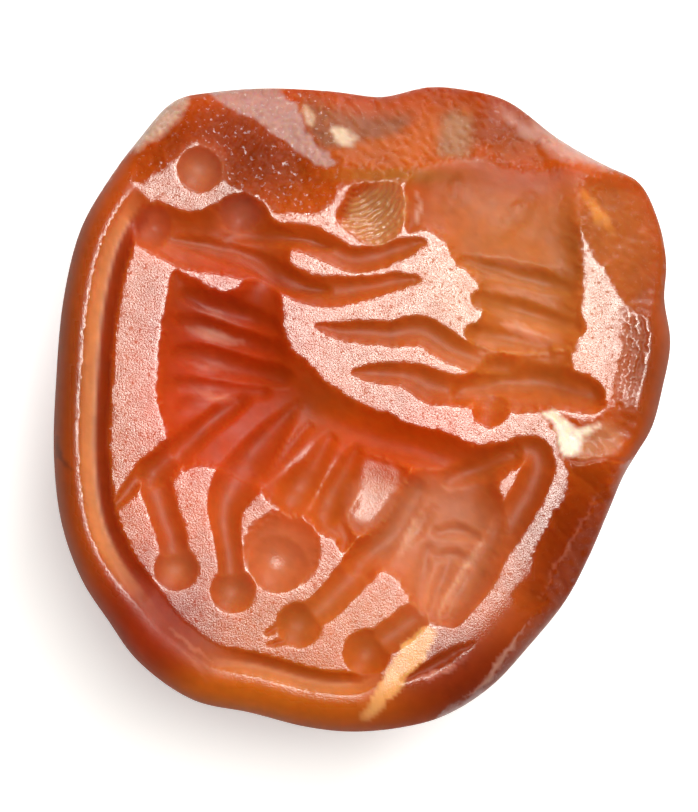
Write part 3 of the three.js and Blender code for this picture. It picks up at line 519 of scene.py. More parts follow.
# Roughness, mirror strength, bright points and grain of each kind of surface
FIELD_FROM = 0.02
BRINK_WIDTH = 0.08
RIM_FROM = 0.3
GLOSS = {"back": 0.34, "carved": 0.46, "polish": -0.22, "rim": 0.48, "broken": 0.34}
SHEEN = {"side": 0.05, "back": 0.4, "carved": 0.22, "polish": 0.42, "brink": 0.2, "dull": -0.14, "rim": 0.2,
         "rim fade": 1.1, "broken": 0.18, "dark side": 0.05, "gritty": 0.07, "scoop": 0.5}
SPARKLE = {"carved": 1.0, "polish": -0.7, "broken": 2.5, "gritty": 15.0}
GRAIN = {"back": 0.25, "carved": 0.2, "polish": 0.8, "broken": 0.4, "gritty": 1.0}
BORE_LOOKS = {"gloss": 0.5, "grain": 0.4, "sheen": 0.2}

# Fine texture and translucency of the stone
SPECKLE_SCALE = 30000
SPECKLE_DETAIL = 3
PIT_RANGE = (0.3, 0.6)
BUMP_STRENGTH = 0.24
BUMP_DEPTH = 0.00001
POCK_SCALE = 11000
POCK_DETAIL = 2
POCK_RANGE = (0.62, 0.66)
SUBSURFACE_WEIGHT = 0.7
SUBSURFACE_RADIUS = (1.8, 0.4, 0.12)
SUBSURFACE_SCALE = 0.001
REFRACTION = 1.54

# Floor, lamps and room, in metres: a lamp has its place, size, radiance and colour
FLOOR_REACH = 2
FLOOR_COLOUR = (0.92, 0.92, 0.92, 1)
FLOOR_ROUGHNESS = 0.9
FLOOR_SHEEN = 0.1
FLOOR_GLOW = 0.42
WHITE = (1.0, 1.0, 1.0)
LAMPS = {
    "overhead": ((0.021, 0.018, 0.2), 0.066, 25.0, (1.0, 0.99, 0.92)),
    "key": ((0.11, 0.19, 0.13), 0.1, 12.0, WHITE),
    "back": ((0.03, 0.2, 0.04), 0.06, 4.0, WHITE),
}
LAMPS_AIM = (0, 0, 0.008)
ROOM_LIGHT = 0.04

# Camera straight over the face
MM_PER_PIXEL = 0.02
FRAME_HEIGHT = 812
SENSOR = 36
LENS = 250
CAMERA_AT = (-0.26, 0.04)
SHARP_DEPTH = 0.5
CAMERA_RANGE = (0.001, 10)


def spline(points, closed, steps):
    """A centripetal Catmull-Rom line through the points, with this many steps to a stretch."""
    base = np.array(points, float)
    count = len(base)
    if closed:
        padded = np.vstack([base[-1], base, base[0], base[1]])
    else:
        padded = np.vstack([2 * base[0] - base[1], base, 2 * base[-1] - base[-2]])
    stretches = count if closed else count - 1
    made = []
    for stretch in range(stretches):
        p0, p1, p2, p3 = padded[stretch:stretch + 4]
        t0 = 0.0
        t1 = t0 + np.linalg.norm(p1 - p0) ** 0.5
        t2 = t1 + np.linalg.norm(p2 - p1) ** 0.5
        t3 = t2 + np.linalg.norm(p3 - p2) ** 0.5
        for step in range(steps):
            t = t1 + (t2 - t1) * step / steps
            a1 = (t1 - t) / (t1 - t0) * p0 + (t - t0) / (t1 - t0) * p1
            a2 = (t2 - t) / (t2 - t1) * p1 + (t - t1) / (t2 - t1) * p2
            a3 = (t3 - t) / (t3 - t2) * p2 + (t - t2) / (t3 - t2) * p3
            b1 = (t2 - t) / (t2 - t0) * a1 + (t - t0) / (t2 - t0) * a2
            b2 = (t3 - t) / (t3 - t1) * a2 + (t - t1) / (t3 - t1) * a3
            made.append((t2 - t) / (t2 - t1) * b1 + (t - t1) / (t2 - t1) * b2)
    if not closed:
        made.append(base[-1])
    return np.array(made)


def evenly(line, count):
    """A closed line resampled to equal steps."""
    loop = np.vstack([line, line[:1]])
    lengths = np.concatenate([[0], np.cumsum(np.linalg.norm(np.diff(loop, axis=0), axis=1))])
    wanted = np.linspace(0, lengths[-1], count, endpoint=False)
    return np.stack([np.interp(wanted, lengths, loop[:, axis]) for axis in (0, 1)], axis=1)


edge = evenly(spline(OUTLINE, True, EDGE_CURVE), EDGE_STEPS)
edge = edge - (edge.min(0) + edge.max(0)) / 2
edge_turn = np.roll(edge, -1, axis=0) - np.roll(edge, 1, axis=0)
edge_inward = np.stack([-edge_turn[:, 1], edge_turn[:, 0]], axis=1)
edge_inward /= np.linalg.norm(edge_inward, axis=1)[:, None]


def region(x, y, line, reach):
    """Signed distance in from a closed line, negative outside and nowhere under minus the reach."""
    found = np.full(len(x), -reach)
    low = line.min(0) - reach
    high = line.max(0) + reach
    near = np.nonzero((x > low[0]) & (x < high[0]) & (y > low[1]) & (y < high[1]))[0]
    px = x[near]
    py = y[near]
    gap = np.full(len(near), reach ** 2)
    inside = np.zeros(len(near), bool)
    for a, b in zip(line, np.roll(line, -1, axis=0)):
        step = b - a
        t = np.clip(((px - a[0]) * step[0] + (py - a[1]) * step[1]) / max(step @ step, SMALLEST), 0, 1)
        gap = np.minimum(gap, (px - a[0] - t * step[0]) ** 2 + (py - a[1] - t * step[1]) ** 2)
        if a[1] != b[1]:
            crossing = a[0] + (py - a[1]) / step[1] * step[0]
            inside ^= ((a[1] > py) != (b[1] > py)) & (px < crossing)
    found[near] = np.where(inside, 1, -1) * np.sqrt(gap)
    return found


def tool_radius(half_width, share):
    return half_width * (1 + share * share) / (2 * share)


def groove_depth(gap, half_width, share):
    """Signed depth of a round-bottomed groove at a distance from its middle."""
    radius = tool_radius(half_width, share)
    inside = np.sqrt(np.maximum(radius ** 2 - gap ** 2, 0))
    return inside - (radius - share * half_width) - np.maximum(gap - radius, 0)


def cut_field(x, y, cuts):
    """Signed depth of the deepest cut at each point: under zero outside every cut."""
    found = np.full(len(x), -UNCUT)
    for share, *points in cuts.values():
        line = np.array(points, float) if len(points) == 1 else spline(points, False, LINE_CURVE)
        reach = line[:, 2].max() * 2 + CUT_MARGIN
        low = line[:, :2].min(0) - reach
        high = line[:, :2].max(0) + reach
        near = np.nonzero((x > low[0]) & (x < high[0]) & (y > low[1]) & (y < high[1]))[0]
        starts = line[:1] if len(line) == 1 else line[:-1]
        ends = line[:1] if len(line) == 1 else line[1:]
        for a, b in zip(starts, ends):
            step = b[:2] - a[:2]
            span = max(float(step @ step), SMALLEST)
            t = ((x[near] - a[0]) * step[0] + (y[near] - a[1]) * step[1]) / span
            t = np.clip(t, 0, 1)
            gap = np.hypot(x[near] - a[0] - t * step[0], y[near] - a[1] - t * step[1])
            width = a[2] + t * (b[2] - a[2])
            found[near] = np.maximum(found[near], groove_depth(gap, width, share))
    return found


def fractal(x, y, scale, seed, z=0.0):
    """Smooth noise with three octaves, about -1 to 1."""
    lift = np.broadcast_to(seed * SEED_STEP + np.asarray(z) * scale, np.shape(x))
    return np.array([
        noise.fractal(Vector((a * scale, b * scale, c)), *NOISE_SHAPE) for a, b, c in zip(x, y, lift)
    ])


def soft_depth(signed, rounding):
    """Depth of a cut whose brink is slightly rounded."""
    return np.where(signed > rounding, signed, np.maximum(signed + rounding, 0) ** 2 / (4 * rounding))


def soft_max(one, other, blend):
    """The larger of two depths, run together where they are alike."""
    near = np.maximum(blend - np.abs(one - other), 0) / blend
    shared = np.clip(np.minimum(one, other) / blend, 0, 1)
    return np.maximum(one, other) + near ** 2 * blend / 4 * shared


grid_line = np.arange(-BOX, BOX + GRID_STEP, GRID_STEP)


def blurred(field, reach):
    """A field on the grid, averaged under a bell of this reach."""
    taps = np.arange(-3 * reach, 3 * reach + GRID_STEP / 2, GRID_STEP)
    weights = np.exp(-(taps / reach) ** 2 / 2)
    weights /= weights.sum()
    for axis in (0, 1):
        field = np.apply_along_axis(np.convolve, axis, field, weights, mode="same")
    return field


def read_grid(field, x, y):
    """A field on the grid, read between its points."""
    along = np.clip((x + BOX) / GRID_STEP, 0, len(grid_line) - 2)
    up = np.clip((y + BOX) / GRID_STEP, 0, len(grid_line) - 2)
    column = along.astype(int)
    row = up.astype(int)
    s = along - column
    t = up - row
    low = field[row, column] * (1 - s) + field[row, column + 1] * s
    high = field[row + 1, column] * (1 - s) + field[row + 1, column + 1] * s
    return low * (1 - t) + high * t


def by_direction(x, y, table):
    """A value read from a table of compass directions."""
    turn = np.degrees(np.arctan2(y, x)) % 360
    return np.interp(turn, [row[0] for row in table], [row[1] for row in table])


hollow_lines = {name: spline(outline, True, AREA_CURVE) for name, (depth, wall, outline) in HOLLOWS.items()}
scar_lines = {name: spline(scar[-1], True, SCAR_CURVE) for name, scar in SCARS.items()}
scoop_line = spline(SCOOP, True, LINE_CURVE)
soft_cuts = {}
sharp_cuts = {}
for group_name, group in (("standing", STANDING_GOAT), ("inverted", INVERTED_GOAT), ("filling", FILLINGS)):
    for cut_name, cut in group.items():
        kind = soft_cuts if cut_name.startswith(SOFT_NAMES) else sharp_cuts
        kind[group_name + " " + cut_name] = cut


def hollow_depth(x, y, chipping):
    """Signed depth of the broad hollows, and how far each point is inside them."""
    hollow = np.full(len(x), -FAR)
    deepest_in = np.full(len(x), -FAR)
    for name, (depth, wall, outline) in HOLLOWS.items():
        into = region(x, y, hollow_lines[name], HOLLOW_REACH) + chipping
        share = np.clip(into / wall, 0, 1)
        bowl = depth * (1 - (1 - share) ** 2)
        hollow = soft_max(hollow, np.where(into > 0, bowl, into), HOLLOW_BLEND)
        deepest_in = np.maximum(deepest_in, into)
    return hollow, deepest_in


grid_x, grid_y = np.meshgrid(grid_line, grid_line)
plain_hollows = hollow_depth(grid_x.ravel(), grid_y.ravel(), 0.0)[0]
smooth_hollows = blurred(np.maximum(plain_hollows, 0).reshape(grid_x.shape), HOLLOW_BLUR)


def chipped(signed, chipping):
    """A signed depth with a ragged brink and a smooth floor."""
    return signed + chipping * CUT_CHIPPING * np.clip(1 - signed / BRINK_REACH, 0, 1)


def top_surface(x, y):
    """Heights of the engraved side and what is found at each point."""
    inside = region(x, y, edge, FAR)
    rim_width = by_direction(x, y, RIM_WIDTHS)
    lean = np.clip(1 - inside / rim_width, 0, 1)
    rim = FACE - RIM_ROUND * (1 - np.sqrt(np.maximum(1 - lean ** 2, 0)))
    swell = FACE_SWELL * ((x / HALF_WIDTH) ** 2 + (y / HALF_LENGTH) ** 2)

    shaken_x = x + HAND_SHAKE * fractal(x, y, HAND_WAVES, SHAKE_SEEDS[0])
    shaken_y = y + HAND_SHAKE * fractal(x, y, HAND_WAVES, SHAKE_SEEDS[1])
    chipping = CHIPPING * fractal(x, y, CHIP_WAVES, CHIP_SEED)
    hollow, deepest_in = hollow_depth(shaken_x, shaken_y, chipping)
    smooth = np.clip(deepest_in / SMOOTH_FROM - SMOOTH_DELAY, 0, 1) * (hollow > 0)
    hollow = hollow + (read_grid(smooth_hollows, shaken_x, shaken_y) - hollow) * smooth
    soft = chipped(cut_field(shaken_x, shaken_y, soft_cuts), chipping)
    sharp = chipped(cut_field(shaken_x, shaken_y, sharp_cuts), chipping)
    in_hollow = np.clip(hollow / SOFT_FROM, 0, 1)
    soft_round = EDGE_ROUND + (SOFT_ROUND - EDGE_ROUND) * in_hollow

    half_width = by_direction(x, y, BORDER_HALF_WIDTHS)
    across = inside - rim_width - RIDGE_WIDTH - half_width
    strength = by_direction(x, y, BORDER_STRENGTHS)
    border = chipped(groove_depth(np.abs(across), half_width, BORDER_SHARE), chipping)
    border = np.where(border > 0, border * strength, border)
    border = np.where(strength > 0, border, -FAR)
    turn = (np.degrees(np.arctan2(y, x)) + 180) % 360 - 180
    in_span = (turn > STRIPE_SPAN[0]) & (turn < STRIPE_SPAN[1])
    for inset in STRIPE_INSETS:
        from_line = np.abs(inside - inset + chipping * STRIPE_CHIPPING)
        from_middle = np.abs(turn - STRIPE_MIDDLE) / STRIPE_MIDDLE
        wear = STRIPE_WEAR * (1 + fractal(x, y, STRIPE_WAVES, inset * STRIPE_SEED))
        wear *= MIDDLE_WEAR + from_middle
        stripe = groove_depth(from_line, STRIPE_HALF_WIDTH, STRIPE_SHARE) - wear
        border = np.maximum(border, np.where(in_span, stripe, -FAR))

    cut = np.maximum(soft, sharp)
    depth = soft_depth(hollow, EDGE_ROUND)
    depth += np.maximum(soft_depth(soft, soft_round), soft_depth(sharp, EDGE_ROUND))
    face = rim - swell - np.maximum(depth, soft_depth(border, EDGE_ROUND))

    scar = np.full(len(x), -FAR)
    scar_depth = np.zeros(len(x))
    further = np.zeros(len(x))
    for name, (slope, rough, waves, outline) in SCARS.items():
        into = region(x, y, scar_lines[name], FAR) + chipping * SCAR_CHIPPING
        fall = into * math.tan(math.radians(slope)) + rough * fractal(x, y, waves, SCAR_SEED) * (into > 0)
        if name == "right side":
            along = x * STREAK_SLANT[0] + y * STREAK_SLANT[1]
            streak = STREAK_DEPTH * fractal(along, y * STREAK_SLANT[2], STREAK_WAVES, STREAK_SEED)
            fall += streak * (into > 0)
        if name == "end break":
            grit = GRIT_DEPTH * fractal(x, y, GRIT_WAVES, GRIT_SEED)
            fall += grit * np.clip((GRIT_END - x) / GRIT_FADE, 0, 1) * (into > 0)
        if name in FURTHER_SCARS:
            further = soft_max(further, soft_depth(fall, FURTHER_ROUND), FURTHER_BLEND)
        else:
            scar_depth = np.maximum(scar_depth, soft_depth(fall, EDGE_ROUND))
        scar = np.where(np.abs(into) < np.abs(scar), into, scar)
    scoop = region(x, y, scoop_line, NEAR) + chipping
    share = np.clip(scoop / SCOOP_WALL, 0, 1)
    from_struck = np.hypot(x - SCOOP_STRUCK[0], y - SCOOP_STRUCK[1])
    from_struck += RIPPLE_WANDER * fractal(x, y, RIPPLE_WAVES, RIPPLE_SEED)
    ripple = SCOOP_RIPPLE * np.sin(2 * math.pi * from_struck / SCOOP_RIPPLE_STEP) * (share > RIPPLE_FROM)
    bowl = SCOOP_DEPTH * (1 - (1 - share) ** 2) + ripple
    scar_depth = np.maximum(scar_depth, soft_depth(np.where(scoop > 0, bowl, scoop), EDGE_ROUND))
    lost = FACE - swell - face
    height = FACE - swell - soft_max(lost, scar_depth, SCAR_BLEND) - further

    broken = (scar_depth > lost + BROKEN_FROM) | (further > FURTHER_FROM)
    carved = np.maximum(np.maximum(hollow, cut), border)
    crease = np.minimum(np.abs(carved), np.abs(scar))
    crease = np.where(scoop > -SCOOP_BRINK, 0, crease)
    gritty = broken & (y > GRIT_LOW) & (x < GRIT_END)
    crease = np.where(gritty, 0, crease)
    return {"height": height, "carved": carved, "crease": crease, "broken": broken, "scoop": scoop,
            "rim": lean, "gritty": gritty, "across": across / half_width, "strength": strength}


# Points of the engraved side: a close lattice along brinks and a wider one between them
rows = int(2 * BOX / (FINE_STEP * ROW_SHARE))
columns = int(2 * BOX / FINE_STEP)
row_index, column_index = np.meshgrid(np.arange(rows), np.arange(columns), indexing="ij")
lattice_x = (-BOX + (column_index + 0.5 * (row_index % 2)) * FINE_STEP).ravel()
lattice_y = (-BOX + row_index * FINE_STEP * ROW_SHARE).ravel()
coarse = ((row_index % 2 == 0) & (column_index % 2 == 0)).ravel()
inner = region(lattice_x, lattice_y, edge, NEAR) > EDGE_CLEAR
lattice_x = lattice_x[inner]
lattice_y = lattice_y[inner]
coarse = coarse[inner]
probe = top_surface(lattice_x, lattice_y)
kept = coarse | (probe["crease"] < CREASE_REACH)
ring_points = [edge + edge_inward * inset for inset in RING_INSETS]
plan = np.vstack(ring_points + [np.stack([lattice_x[kept], lattice_y[kept]], axis=1)])
loop = [(step, (step + 1) % EDGE_STEPS) for step in range(EDGE_STEPS)]
triangulated = delaunay_2d_cdt([Vector(point) for point in plan], loop, [], 1, MERGE_GAP)
plan = np.array([tuple(point) for point in triangulated[0]])
top_faces = [tuple(face) for face in triangulated[2]]
made_from = {}
for made, sources in enumerate(triangulated[3]):
    for source in sources:
        made_from[source] = made
rim_ids = [made_from[step] for step in range(EDGE_STEPS)]
top = top_surface(plan[:, 0], plan[:, 1])
top_points = np.column_stack([plan, top["height"]])


# Sides and beetle's back: rings under the rim, all with the rim's number of points
def dome_share(height):
    fall = 1 - height / SEAT
    swell = max(0.0, 1 - fall ** DOME_POWER) ** (1 / DOME_FULLNESS)
    return REST_SHARE + (SEAT_SHARE - REST_SHARE) * swell


rim_height = top["height"][rim_ids]
back_rings = []
base_foot = FACE - BASE_THICK
for share in np.linspace(0, 1, BASE_RINGS + 1)[1:]:
    ring = edge + edge_inward * BASE_TAPER * share
    back_rings.append(np.column_stack([ring, rim_height + (base_foot - rim_height) * share]))
for share in np.linspace(0, 1, BELLY_RINGS + 2)[1:-1]:
    ring = edge * (1 + (SEAT_SHARE - 1) * share)
    back_rings.append(np.column_stack([ring, np.full(EDGE_STEPS, base_foot - BELLY_FALL * share ** 2)]))
for step in range(DOME_RINGS + 1):
    height = SEAT - SEAT * math.sin(math.pi / 2 * step / DOME_RINGS)
    back_rings.append(np.column_stack([edge * dome_share(height), np.full(EDGE_STEPS, height)]))
for share in REST_RINGS:
    back_rings.append(np.column_stack([edge * REST_SHARE * share, np.zeros(EDGE_STEPS)]))
back_points = np.vstack(back_rings + [np.zeros((1, 3))])


def line_gap(across, up, line):
    """Distance from points to an open line in two measures."""
    gap = np.full(len(across), FAR)
    for a, b in zip(line[:-1], line[1:]):
        step = b - a
        t = np.clip(((across - a[0]) * step[0] + (up - a[1]) * step[1]) / (step @ step), 0, 1)
        gap = np.minimum(gap, np.hypot(across - a[0] - t * step[0], up - a[1] - t * step[1]))
    return gap


def beetle_depth(points):
    """Depth of the grooves that draw the beetle's wing cases, collar, head and legs."""
    x, y, z = points.T
    turn = np.arctan2(y, x)
    depth = np.zeros(len(points))
    for line in BEETLE_GROOVES:
        gap = line_gap(x, y, spline(line, False, LINE_CURVE))
        groove = soft_depth(groove_depth(gap, BEETLE_HALF_WIDTH, BEETLE_SHARE), BEETLE_ROUND)
        depth = np.maximum(depth, groove)
    depth *= z < BEETLE_TOP
    for leg in LEG_GROOVES:
        for side in (1, -1):
            unrolled = [(math.radians(degrees) * LEG_ROUND, height) for degrees, height in leg]
            line = spline(unrolled, False, LINE_CURVE)
            around = turn if side > 0 else (math.pi - turn + math.pi) % (2 * math.pi) - math.pi
            gap = line_gap(around * LEG_ROUND, z, line)
            groove = soft_depth(groove_depth(gap, LEG_HALF_WIDTH, BEETLE_SHARE), BEETLE_ROUND)
            depth = np.maximum(depth, groove * (z < SEAT))
    return depth


inward = np.array([0, 0, BEETLE_CORE]) - back_points
inward /= np.linalg.norm(inward, axis=1)[:, None]
back_points += inward * (beetle_depth(back_points) * (back_points[:, 2] > REST_HEIGHT))[:, None]

faces = list(top_faces)
offset = len(top_points)
above = np.array(rim_ids)
for ring in range(len(back_rings)):
    below = offset + ring * EDGE_STEPS + np.arange(EDGE_STEPS)
    for step in range(EDGE_STEPS):
        after = (step + 1) % EDGE_STEPS
        faces.append((above[step], below[step], below[after], above[after]))
    above = below
pole = offset + len(back_points) - 1
for step in range(EDGE_STEPS):
    faces.append((above[step], pole, above[(step + 1) % EDGE_STEPS]))
points = np.vstack([top_points, back_points])

mesh = bpy.data.meshes.new("seal")
mesh.from_pydata((points * MM).tolist(), [], [tuple(int(i) for i in face) for face in faces])
mesh.update()
seal = bpy.data.objects.new("seal", mesh)
bpy.context.scene.collection.objects.link(seal)
mesh.polygons.foreach_set("use_smooth", np.ones(len(mesh.polygons), bool))


# Tone, gloss and grain of the stone at each point
def linear(colour):
    """A colour given as it looks on screen, from 0 to 255, as light."""
    shares = np.array(colour, float) / 255
    return np.where(shares > 0.04, ((shares + 0.055) / 1.055) ** 2.4, shares / 12.92)


def mixed(tone, colour, weight):
    return tone + (linear(colour) - tone) * weight[:, None]


x = points[:, 0]
y = points[:, 1]
z = points[:, 2]
fade = np.clip((z - SEAT) / BASE_THICK, 0, 1)
patch_fade = np.clip((z - PATCH_FOOT) / PATCH_RISE, 0, 1)
tone = np.tile(linear(BACK_COLOUR), (len(points), 1))
tone = mixed(tone, STONE_COLOUR, fade)
for (cx, cy), (reach_x, reach_y), colour, strength in TONES.values():
    away = np.hypot((x - cx) / reach_x, (y - cy) / reach_y)
    tone = mixed(tone, colour, strength * np.exp(-away ** 3) * fade)
count = len(top_points)
in_border = np.zeros(len(points))
in_border[:count] = np.clip(WALL_REACH - np.abs(top["across"]), 0, WALL_SOFTNESS) / WALL_SOFTNESS
in_border[:count] *= top["strength"]
outer = np.zeros(len(points))
outer[:count] = np.clip(0.5 - top["across"] * WALL_CHANGE, 0, 1)
# Painted light on the outer wall of the border groove, and painted shade on its inner wall
tone = mixed(tone, OUTER_WALL_PAINTED_LIGHT, OUTER_LIGHT_STRENGTH * in_border * outer)
tone = mixed(tone, INNER_WALL_PAINTED_SHADE, INNER_SHADE_STRENGTH * in_border * (1 - outer))
tone *= TONE_GAIN
wander_x = x + WANDER * fractal(x, y, WANDER_WAVES, WANDER_SEEDS[0])
wander_y = y + WANDER * fractal(x, y, WANDER_WAVES, WANDER_SEEDS[1])
for colour, strength, softness, outline in PATCHES.values():
    into = region(wander_x, wander_y, spline(outline, True, AREA_CURVE), PATCH_REACH)
    tone = mixed(tone, colour, strength * np.clip(0.5 + into / softness, 0, 1) * patch_fade)
for colour, strength, softness, *line in MARKS.values():
    into = cut_field(wander_x, wander_y, {"mark": (MARK_SHARE, *line)})
    tone = mixed(tone, colour, strength * np.clip(into / softness, 0, 1) * patch_fade)
clouds = CLOUD * fractal(x, y, CLOUD_WAVES, CLOUD_SEED, z)
tone *= (1 + clouds + FLECK * fractal(x, y, FLECK_WAVES, FLECK_SEED, z))[:, None]
# Painted shade darkening the stone towards its silhouette: along the rounded rim of the engraved side, and
# up the sides towards the rim
painted_edge_shade = fade.copy()
painted_edge_shade[:count] = top["rim"] ** 3
tone *= (1 - EDGE_PAINTED_SHADE * painted_edge_shade)[:, None]
tone = np.clip(tone, DARKEST, PALEST)

top_x = x[:count]
top_y = y[:count]
polished = np.clip(-top["carved"] / FIELD_FROM, 0, 1) * (~top["broken"]) * (top["rim"] < RIM_FROM)
worn_ridge = (top["across"] < -RIDGE_FROM) & (top["strength"] > 0)
polished *= np.where(worn_ridge, np.clip(top["strength"] / RIDGE_FADE, 0, 1), 1)
brink = polished * np.clip(1 + top["carved"] / BRINK_WIDTH, 0, 1)
for outline in SHINY_PLACES.values():
    into = region(top_x, top_y, spline(outline, True, AREA_CURVE), NEAR)
    polished = np.maximum(polished, SHINY_SHARE * np.clip(0.5 + into / SHINY_SOFTNESS, 0, 1))
dull = np.zeros(count)
for (cx, cy), (reach_x, reach_y) in DULL_PLACES:
    away = np.hypot((top_x - cx) / reach_x, (top_y - cy) / reach_y)
    dull = np.maximum(dull, np.exp(-away ** 4) * (1 - polished))


def lay(values, places, value):
    """Put a value at the places of the engraved side where it belongs."""
    values[:count] = np.where(places, value, values[:count])


on_rim = top["rim"] > RIM_FROM
on_dark_side = top["broken"] & (top_x > DARK_SIDE[0]) & (top_y < DARK_SIDE[1])
gloss = np.full(len(points), GLOSS["back"])
gloss[:count] = GLOSS["carved"] + GLOSS["polish"] * polished
lay(gloss, on_rim, GLOSS["rim"])
lay(gloss, top["broken"], GLOSS["broken"])
sheen = np.where(z > PATCH_FOOT, SHEEN["side"], SHEEN["back"])
sheen[:count] = SHEEN["carved"] + SHEEN["polish"] * polished + SHEEN["brink"] * brink + SHEEN["dull"] * dull
sheen[:count] *= np.interp(top_y, *zip(*SHEEN_BY_HEIGHT))
sheen[:count] *= 1 + SHEEN_BLOTCH * fractal(top_x, top_y, BLOTCH_WAVES, BLOTCH_SEED)
lay(sheen, on_rim, SHEEN["rim"] * (SHEEN["rim fade"] - top["rim"]))
lay(sheen, top["broken"], SHEEN["broken"])
lay(sheen, on_dark_side, SHEEN["dark side"])
lay(sheen, top["gritty"], SHEEN["gritty"])
lay(sheen, top["scoop"] > 0, SHEEN["scoop"])
sparkle = np.full(len(points), SPARKLE["carved"])
sparkle[:count] = SPARKLE["carved"] + SPARKLE["polish"] * polished
lay(sparkle, top["broken"], SPARKLE["broken"])
lay(sparkle, top["gritty"], SPARKLE["gritty"])
grain = np.full(len(points), GRAIN["back"])
grain[:count] = GRAIN["carved"] + GRAIN["polish"] * polished
lay(grain, top["broken"], GRAIN["broken"])
lay(grain, top["gritty"], GRAIN["gritty"])


def attach(mesh, name, kind, field, values):
    data = mesh.attributes.new(name, kind, "POINT")
    data.data.foreach_set(field, values.astype(np.float32).ravel())


attach(mesh, "tone", "FLOAT_COLOR", "color", np.column_stack([tone, np.ones(len(points))]))
for name, values in {"gloss": gloss, "grain": grain, "sheen": sheen, "sparkle": sparkle}.items():
    attach(mesh, name, "FLOAT", "value", values)

# Carnelian
material = bpy.data.materials.new("carnelian")
material.use_nodes = True
nodes = material.node_tree.nodes
links = material.node_tree.links
shader = nodes["Principled BSDF"]


def add_node(kind, values):
    """A new node with these values on its sockets."""
    node = nodes.new(kind)
    for socket, value in values.items():
        node.inputs[socket].default_value = value
    return node


def attribute(name):
    node = nodes.new("ShaderNodeAttribute")
    node.attribute_name = name
    return node.outputs["Color" if name == "tone" else "Fac"]


def product(one, other):
    """The output of a node that multiplies two outputs."""
    node = nodes.new("ShaderNodeMath")
    node.operation = "MULTIPLY"
    links.new(one, node.inputs[0])
    links.new(other, node.inputs[1])
    return node.outputs["Value"]


def ranged_noise(scale, detail, low, high, values):
    """Noise in the stone's own place, with a range of it stretched over the values."""
    spots = add_node("ShaderNodeTexNoise", {"Scale": scale, "Detail": detail})
    ranged = add_node("ShaderNodeMapRange", {"From Min": low, "From Max": high, **values})
    links.new(place.outputs["Object"], spots.inputs["Vector"])
    links.new(spots.outputs["Fac"], ranged.inputs["Value"])
    return ranged


place = nodes.new("ShaderNodeTexCoord")
pits = ranged_noise(SPECKLE_SCALE, SPECKLE_DETAIL, *PIT_RANGE, {})
bump = add_node("ShaderNodeBump", {"Strength": BUMP_STRENGTH, "Distance": BUMP_DEPTH})
links.new(product(pits.outputs["Result"], attribute("grain")), bump.inputs["Height"])
links.new(bump.outputs["Normal"], shader.inputs["Normal"])

# Sparse dark pocks in the polished field, and bright points where it is broken
unpocked = ranged_noise(POCK_SCALE, POCK_DETAIL, *POCK_RANGE, {"To Min": 1})
links.new(attribute("sparkle"), unpocked.inputs["To Max"])
links.new(product(attribute("sheen"), unpocked.outputs["Result"]), shader.inputs["Specular IOR Level"])
links.new(attribute("tone"), shader.inputs["Base Color"])
links.new(attribute("gloss"), shader.inputs["Roughness"])
shader.inputs["Subsurface Weight"].default_value = SUBSURFACE_WEIGHT
shader.inputs["Subsurface Radius"].default_value = SUBSURFACE_RADIUS
shader.inputs["Subsurface Scale"].default_value = SUBSURFACE_SCALE
shader.inputs["IOR"].default_value = REFRACTION
mesh.materials.append(material)

# Bore from end to end
cutter_mesh = bpy.data.meshes.new("bore")
ring = [2 * math.pi * side / BORE_SIDES for side in range(BORE_SIDES)]
cutter_points = [
    (BORE_X + BORE_RADIUS * math.cos(turn), end, BORE_HEIGHT + BORE_RADIUS * math.sin(turn))
    for end in np.linspace(-BORE_LENGTH / 2, BORE_LENGTH / 2, BORE_STRETCHES + 1) for turn in ring
]
last = len(cutter_points) - 1
cutter_faces = [tuple(range(BORE_SIDES)), tuple(range(last, last - BORE_SIDES, -1))]
for stretch in range(BORE_STRETCHES):
    for side in range(BORE_SIDES):
        after = (side + 1) % BORE_SIDES
        low = stretch * BORE_SIDES
        cutter_faces.append((low + after, low + side, low + BORE_SIDES + side, low + BORE_SIDES + after))
cutter_mesh.from_pydata((np.array(cutter_points) * MM).tolist(), [], cutter_faces)
cutter_mesh.polygons.foreach_set("use_smooth", np.ones(len(cutter_mesh.polygons), bool))
cutter_mesh.materials.append(material)
cutter = bpy.data.objects.new("bore", cutter_mesh)
bpy.context.scene.collection.objects.link(cutter)
drilled = seal.modifiers.new("bore", "BOOLEAN")
drilled.operation = "DIFFERENCE"
drilled.solver = "EXACT"
drilled.object = cutter
finished = bpy.data.meshes.new_from_object(seal.evaluated_get(bpy.context.evaluated_depsgraph_get()))
seal.modifiers.clear()
seal.data = finished
bpy.data.objects.remove(cutter)
places = np.empty(len(finished.vertices) * 3, np.float32)
finished.vertices.foreach_get("co", places)
places = places.reshape(-1, 3) / MM
in_bore = np.hypot(places[:, 0] - BORE_X, places[:, 2] - BORE_HEIGHT) < BORE_RADIUS * BORE_EDGE
bore_looks = {"tone": np.append(linear(BORE_COLOUR), 1), **BORE_LOOKS}
for name, value in bore_looks.items():
    field = "color" if name == "tone" else "value"
    for point in np.nonzero(in_bore)[0]:
        setattr(finished.attributes[name].data[int(point)], field, value)

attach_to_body(seal, "root")
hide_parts("scarab_seal")

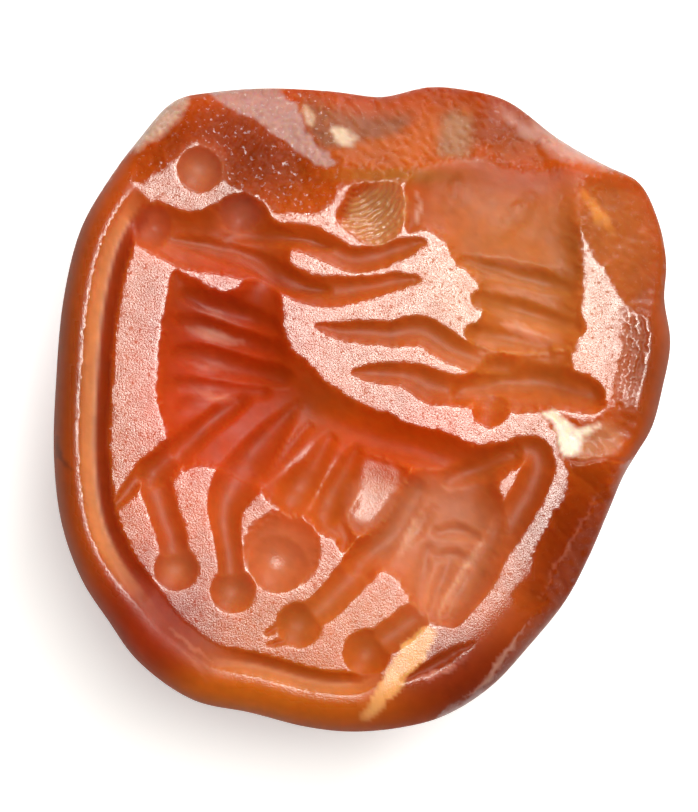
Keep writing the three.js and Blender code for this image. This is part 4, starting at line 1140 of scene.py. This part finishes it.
# Floor and light
floor_mesh = bpy.data.meshes.new("floor")
corners = [(a * FLOOR_REACH, b * FLOOR_REACH, 0) for a, b in ((-1, -1), (1, -1), (1, 1), (-1, 1))]
floor_mesh.from_pydata(corners, [], [(0, 1, 2, 3)])
floor = bpy.data.objects.new("floor", floor_mesh)
bpy.context.scene.collection.objects.link(floor)
floor_material = bpy.data.materials.new("floor")
floor_material.use_nodes = True
floor_shader = floor_material.node_tree.nodes["Principled BSDF"]
floor_shader.inputs["Base Color"].default_value = FLOOR_COLOUR
floor_shader.inputs["Roughness"].default_value = FLOOR_ROUGHNESS
floor_shader.inputs["Specular IOR Level"].default_value = FLOOR_SHEEN
floor_shader.inputs["Emission Color"].default_value = (*WHITE, 1)
floor_shader.inputs["Emission Strength"].default_value = FLOOR_GLOW
floor_mesh.materials.append(floor_material)


def soft_light(name, place, size, radiance, colour):
    """A square lamp aimed at the stone."""
    lamp = bpy.data.lights.new(name, "AREA")
    lamp.shape = "SQUARE"
    lamp.size = size
    lamp.energy = radiance * math.pi * size * size
    lamp.color = colour
    holder = bpy.data.objects.new(name, lamp)
    holder.location = place
    holder.rotation_euler = (Vector(LAMPS_AIM) - Vector(place)).to_track_quat("-Z", "Y").to_euler()
    bpy.context.scene.collection.objects.link(holder)


for lamp_name, lamp_values in LAMPS.items():
    soft_light(lamp_name, *lamp_values)
world = bpy.data.worlds.new("room")
world.use_nodes = True
world.node_tree.nodes["Background"].inputs["Color"].default_value = (*WHITE, 1)
world.node_tree.nodes["Background"].inputs["Strength"].default_value = ROOM_LIGHT
bpy.context.scene.world = world
bpy.context.scene.view_settings.view_transform = "Standard"

# Camera
camera_data = bpy.data.cameras.new("camera")
camera_data.sensor_width = SENSOR
camera_data.lens = LENS
distance = LENS / SENSOR * FRAME_HEIGHT * MM_PER_PIXEL
camera_data.clip_start, camera_data.clip_end = CAMERA_RANGE
camera = bpy.data.objects.new("camera", camera_data)
camera.location = (CAMERA_AT[0] * MM, CAMERA_AT[1] * MM, (FACE - SHARP_DEPTH + distance) * MM)
bpy.context.scene.collection.objects.link(camera)
bpy.context.scene.camera = camera
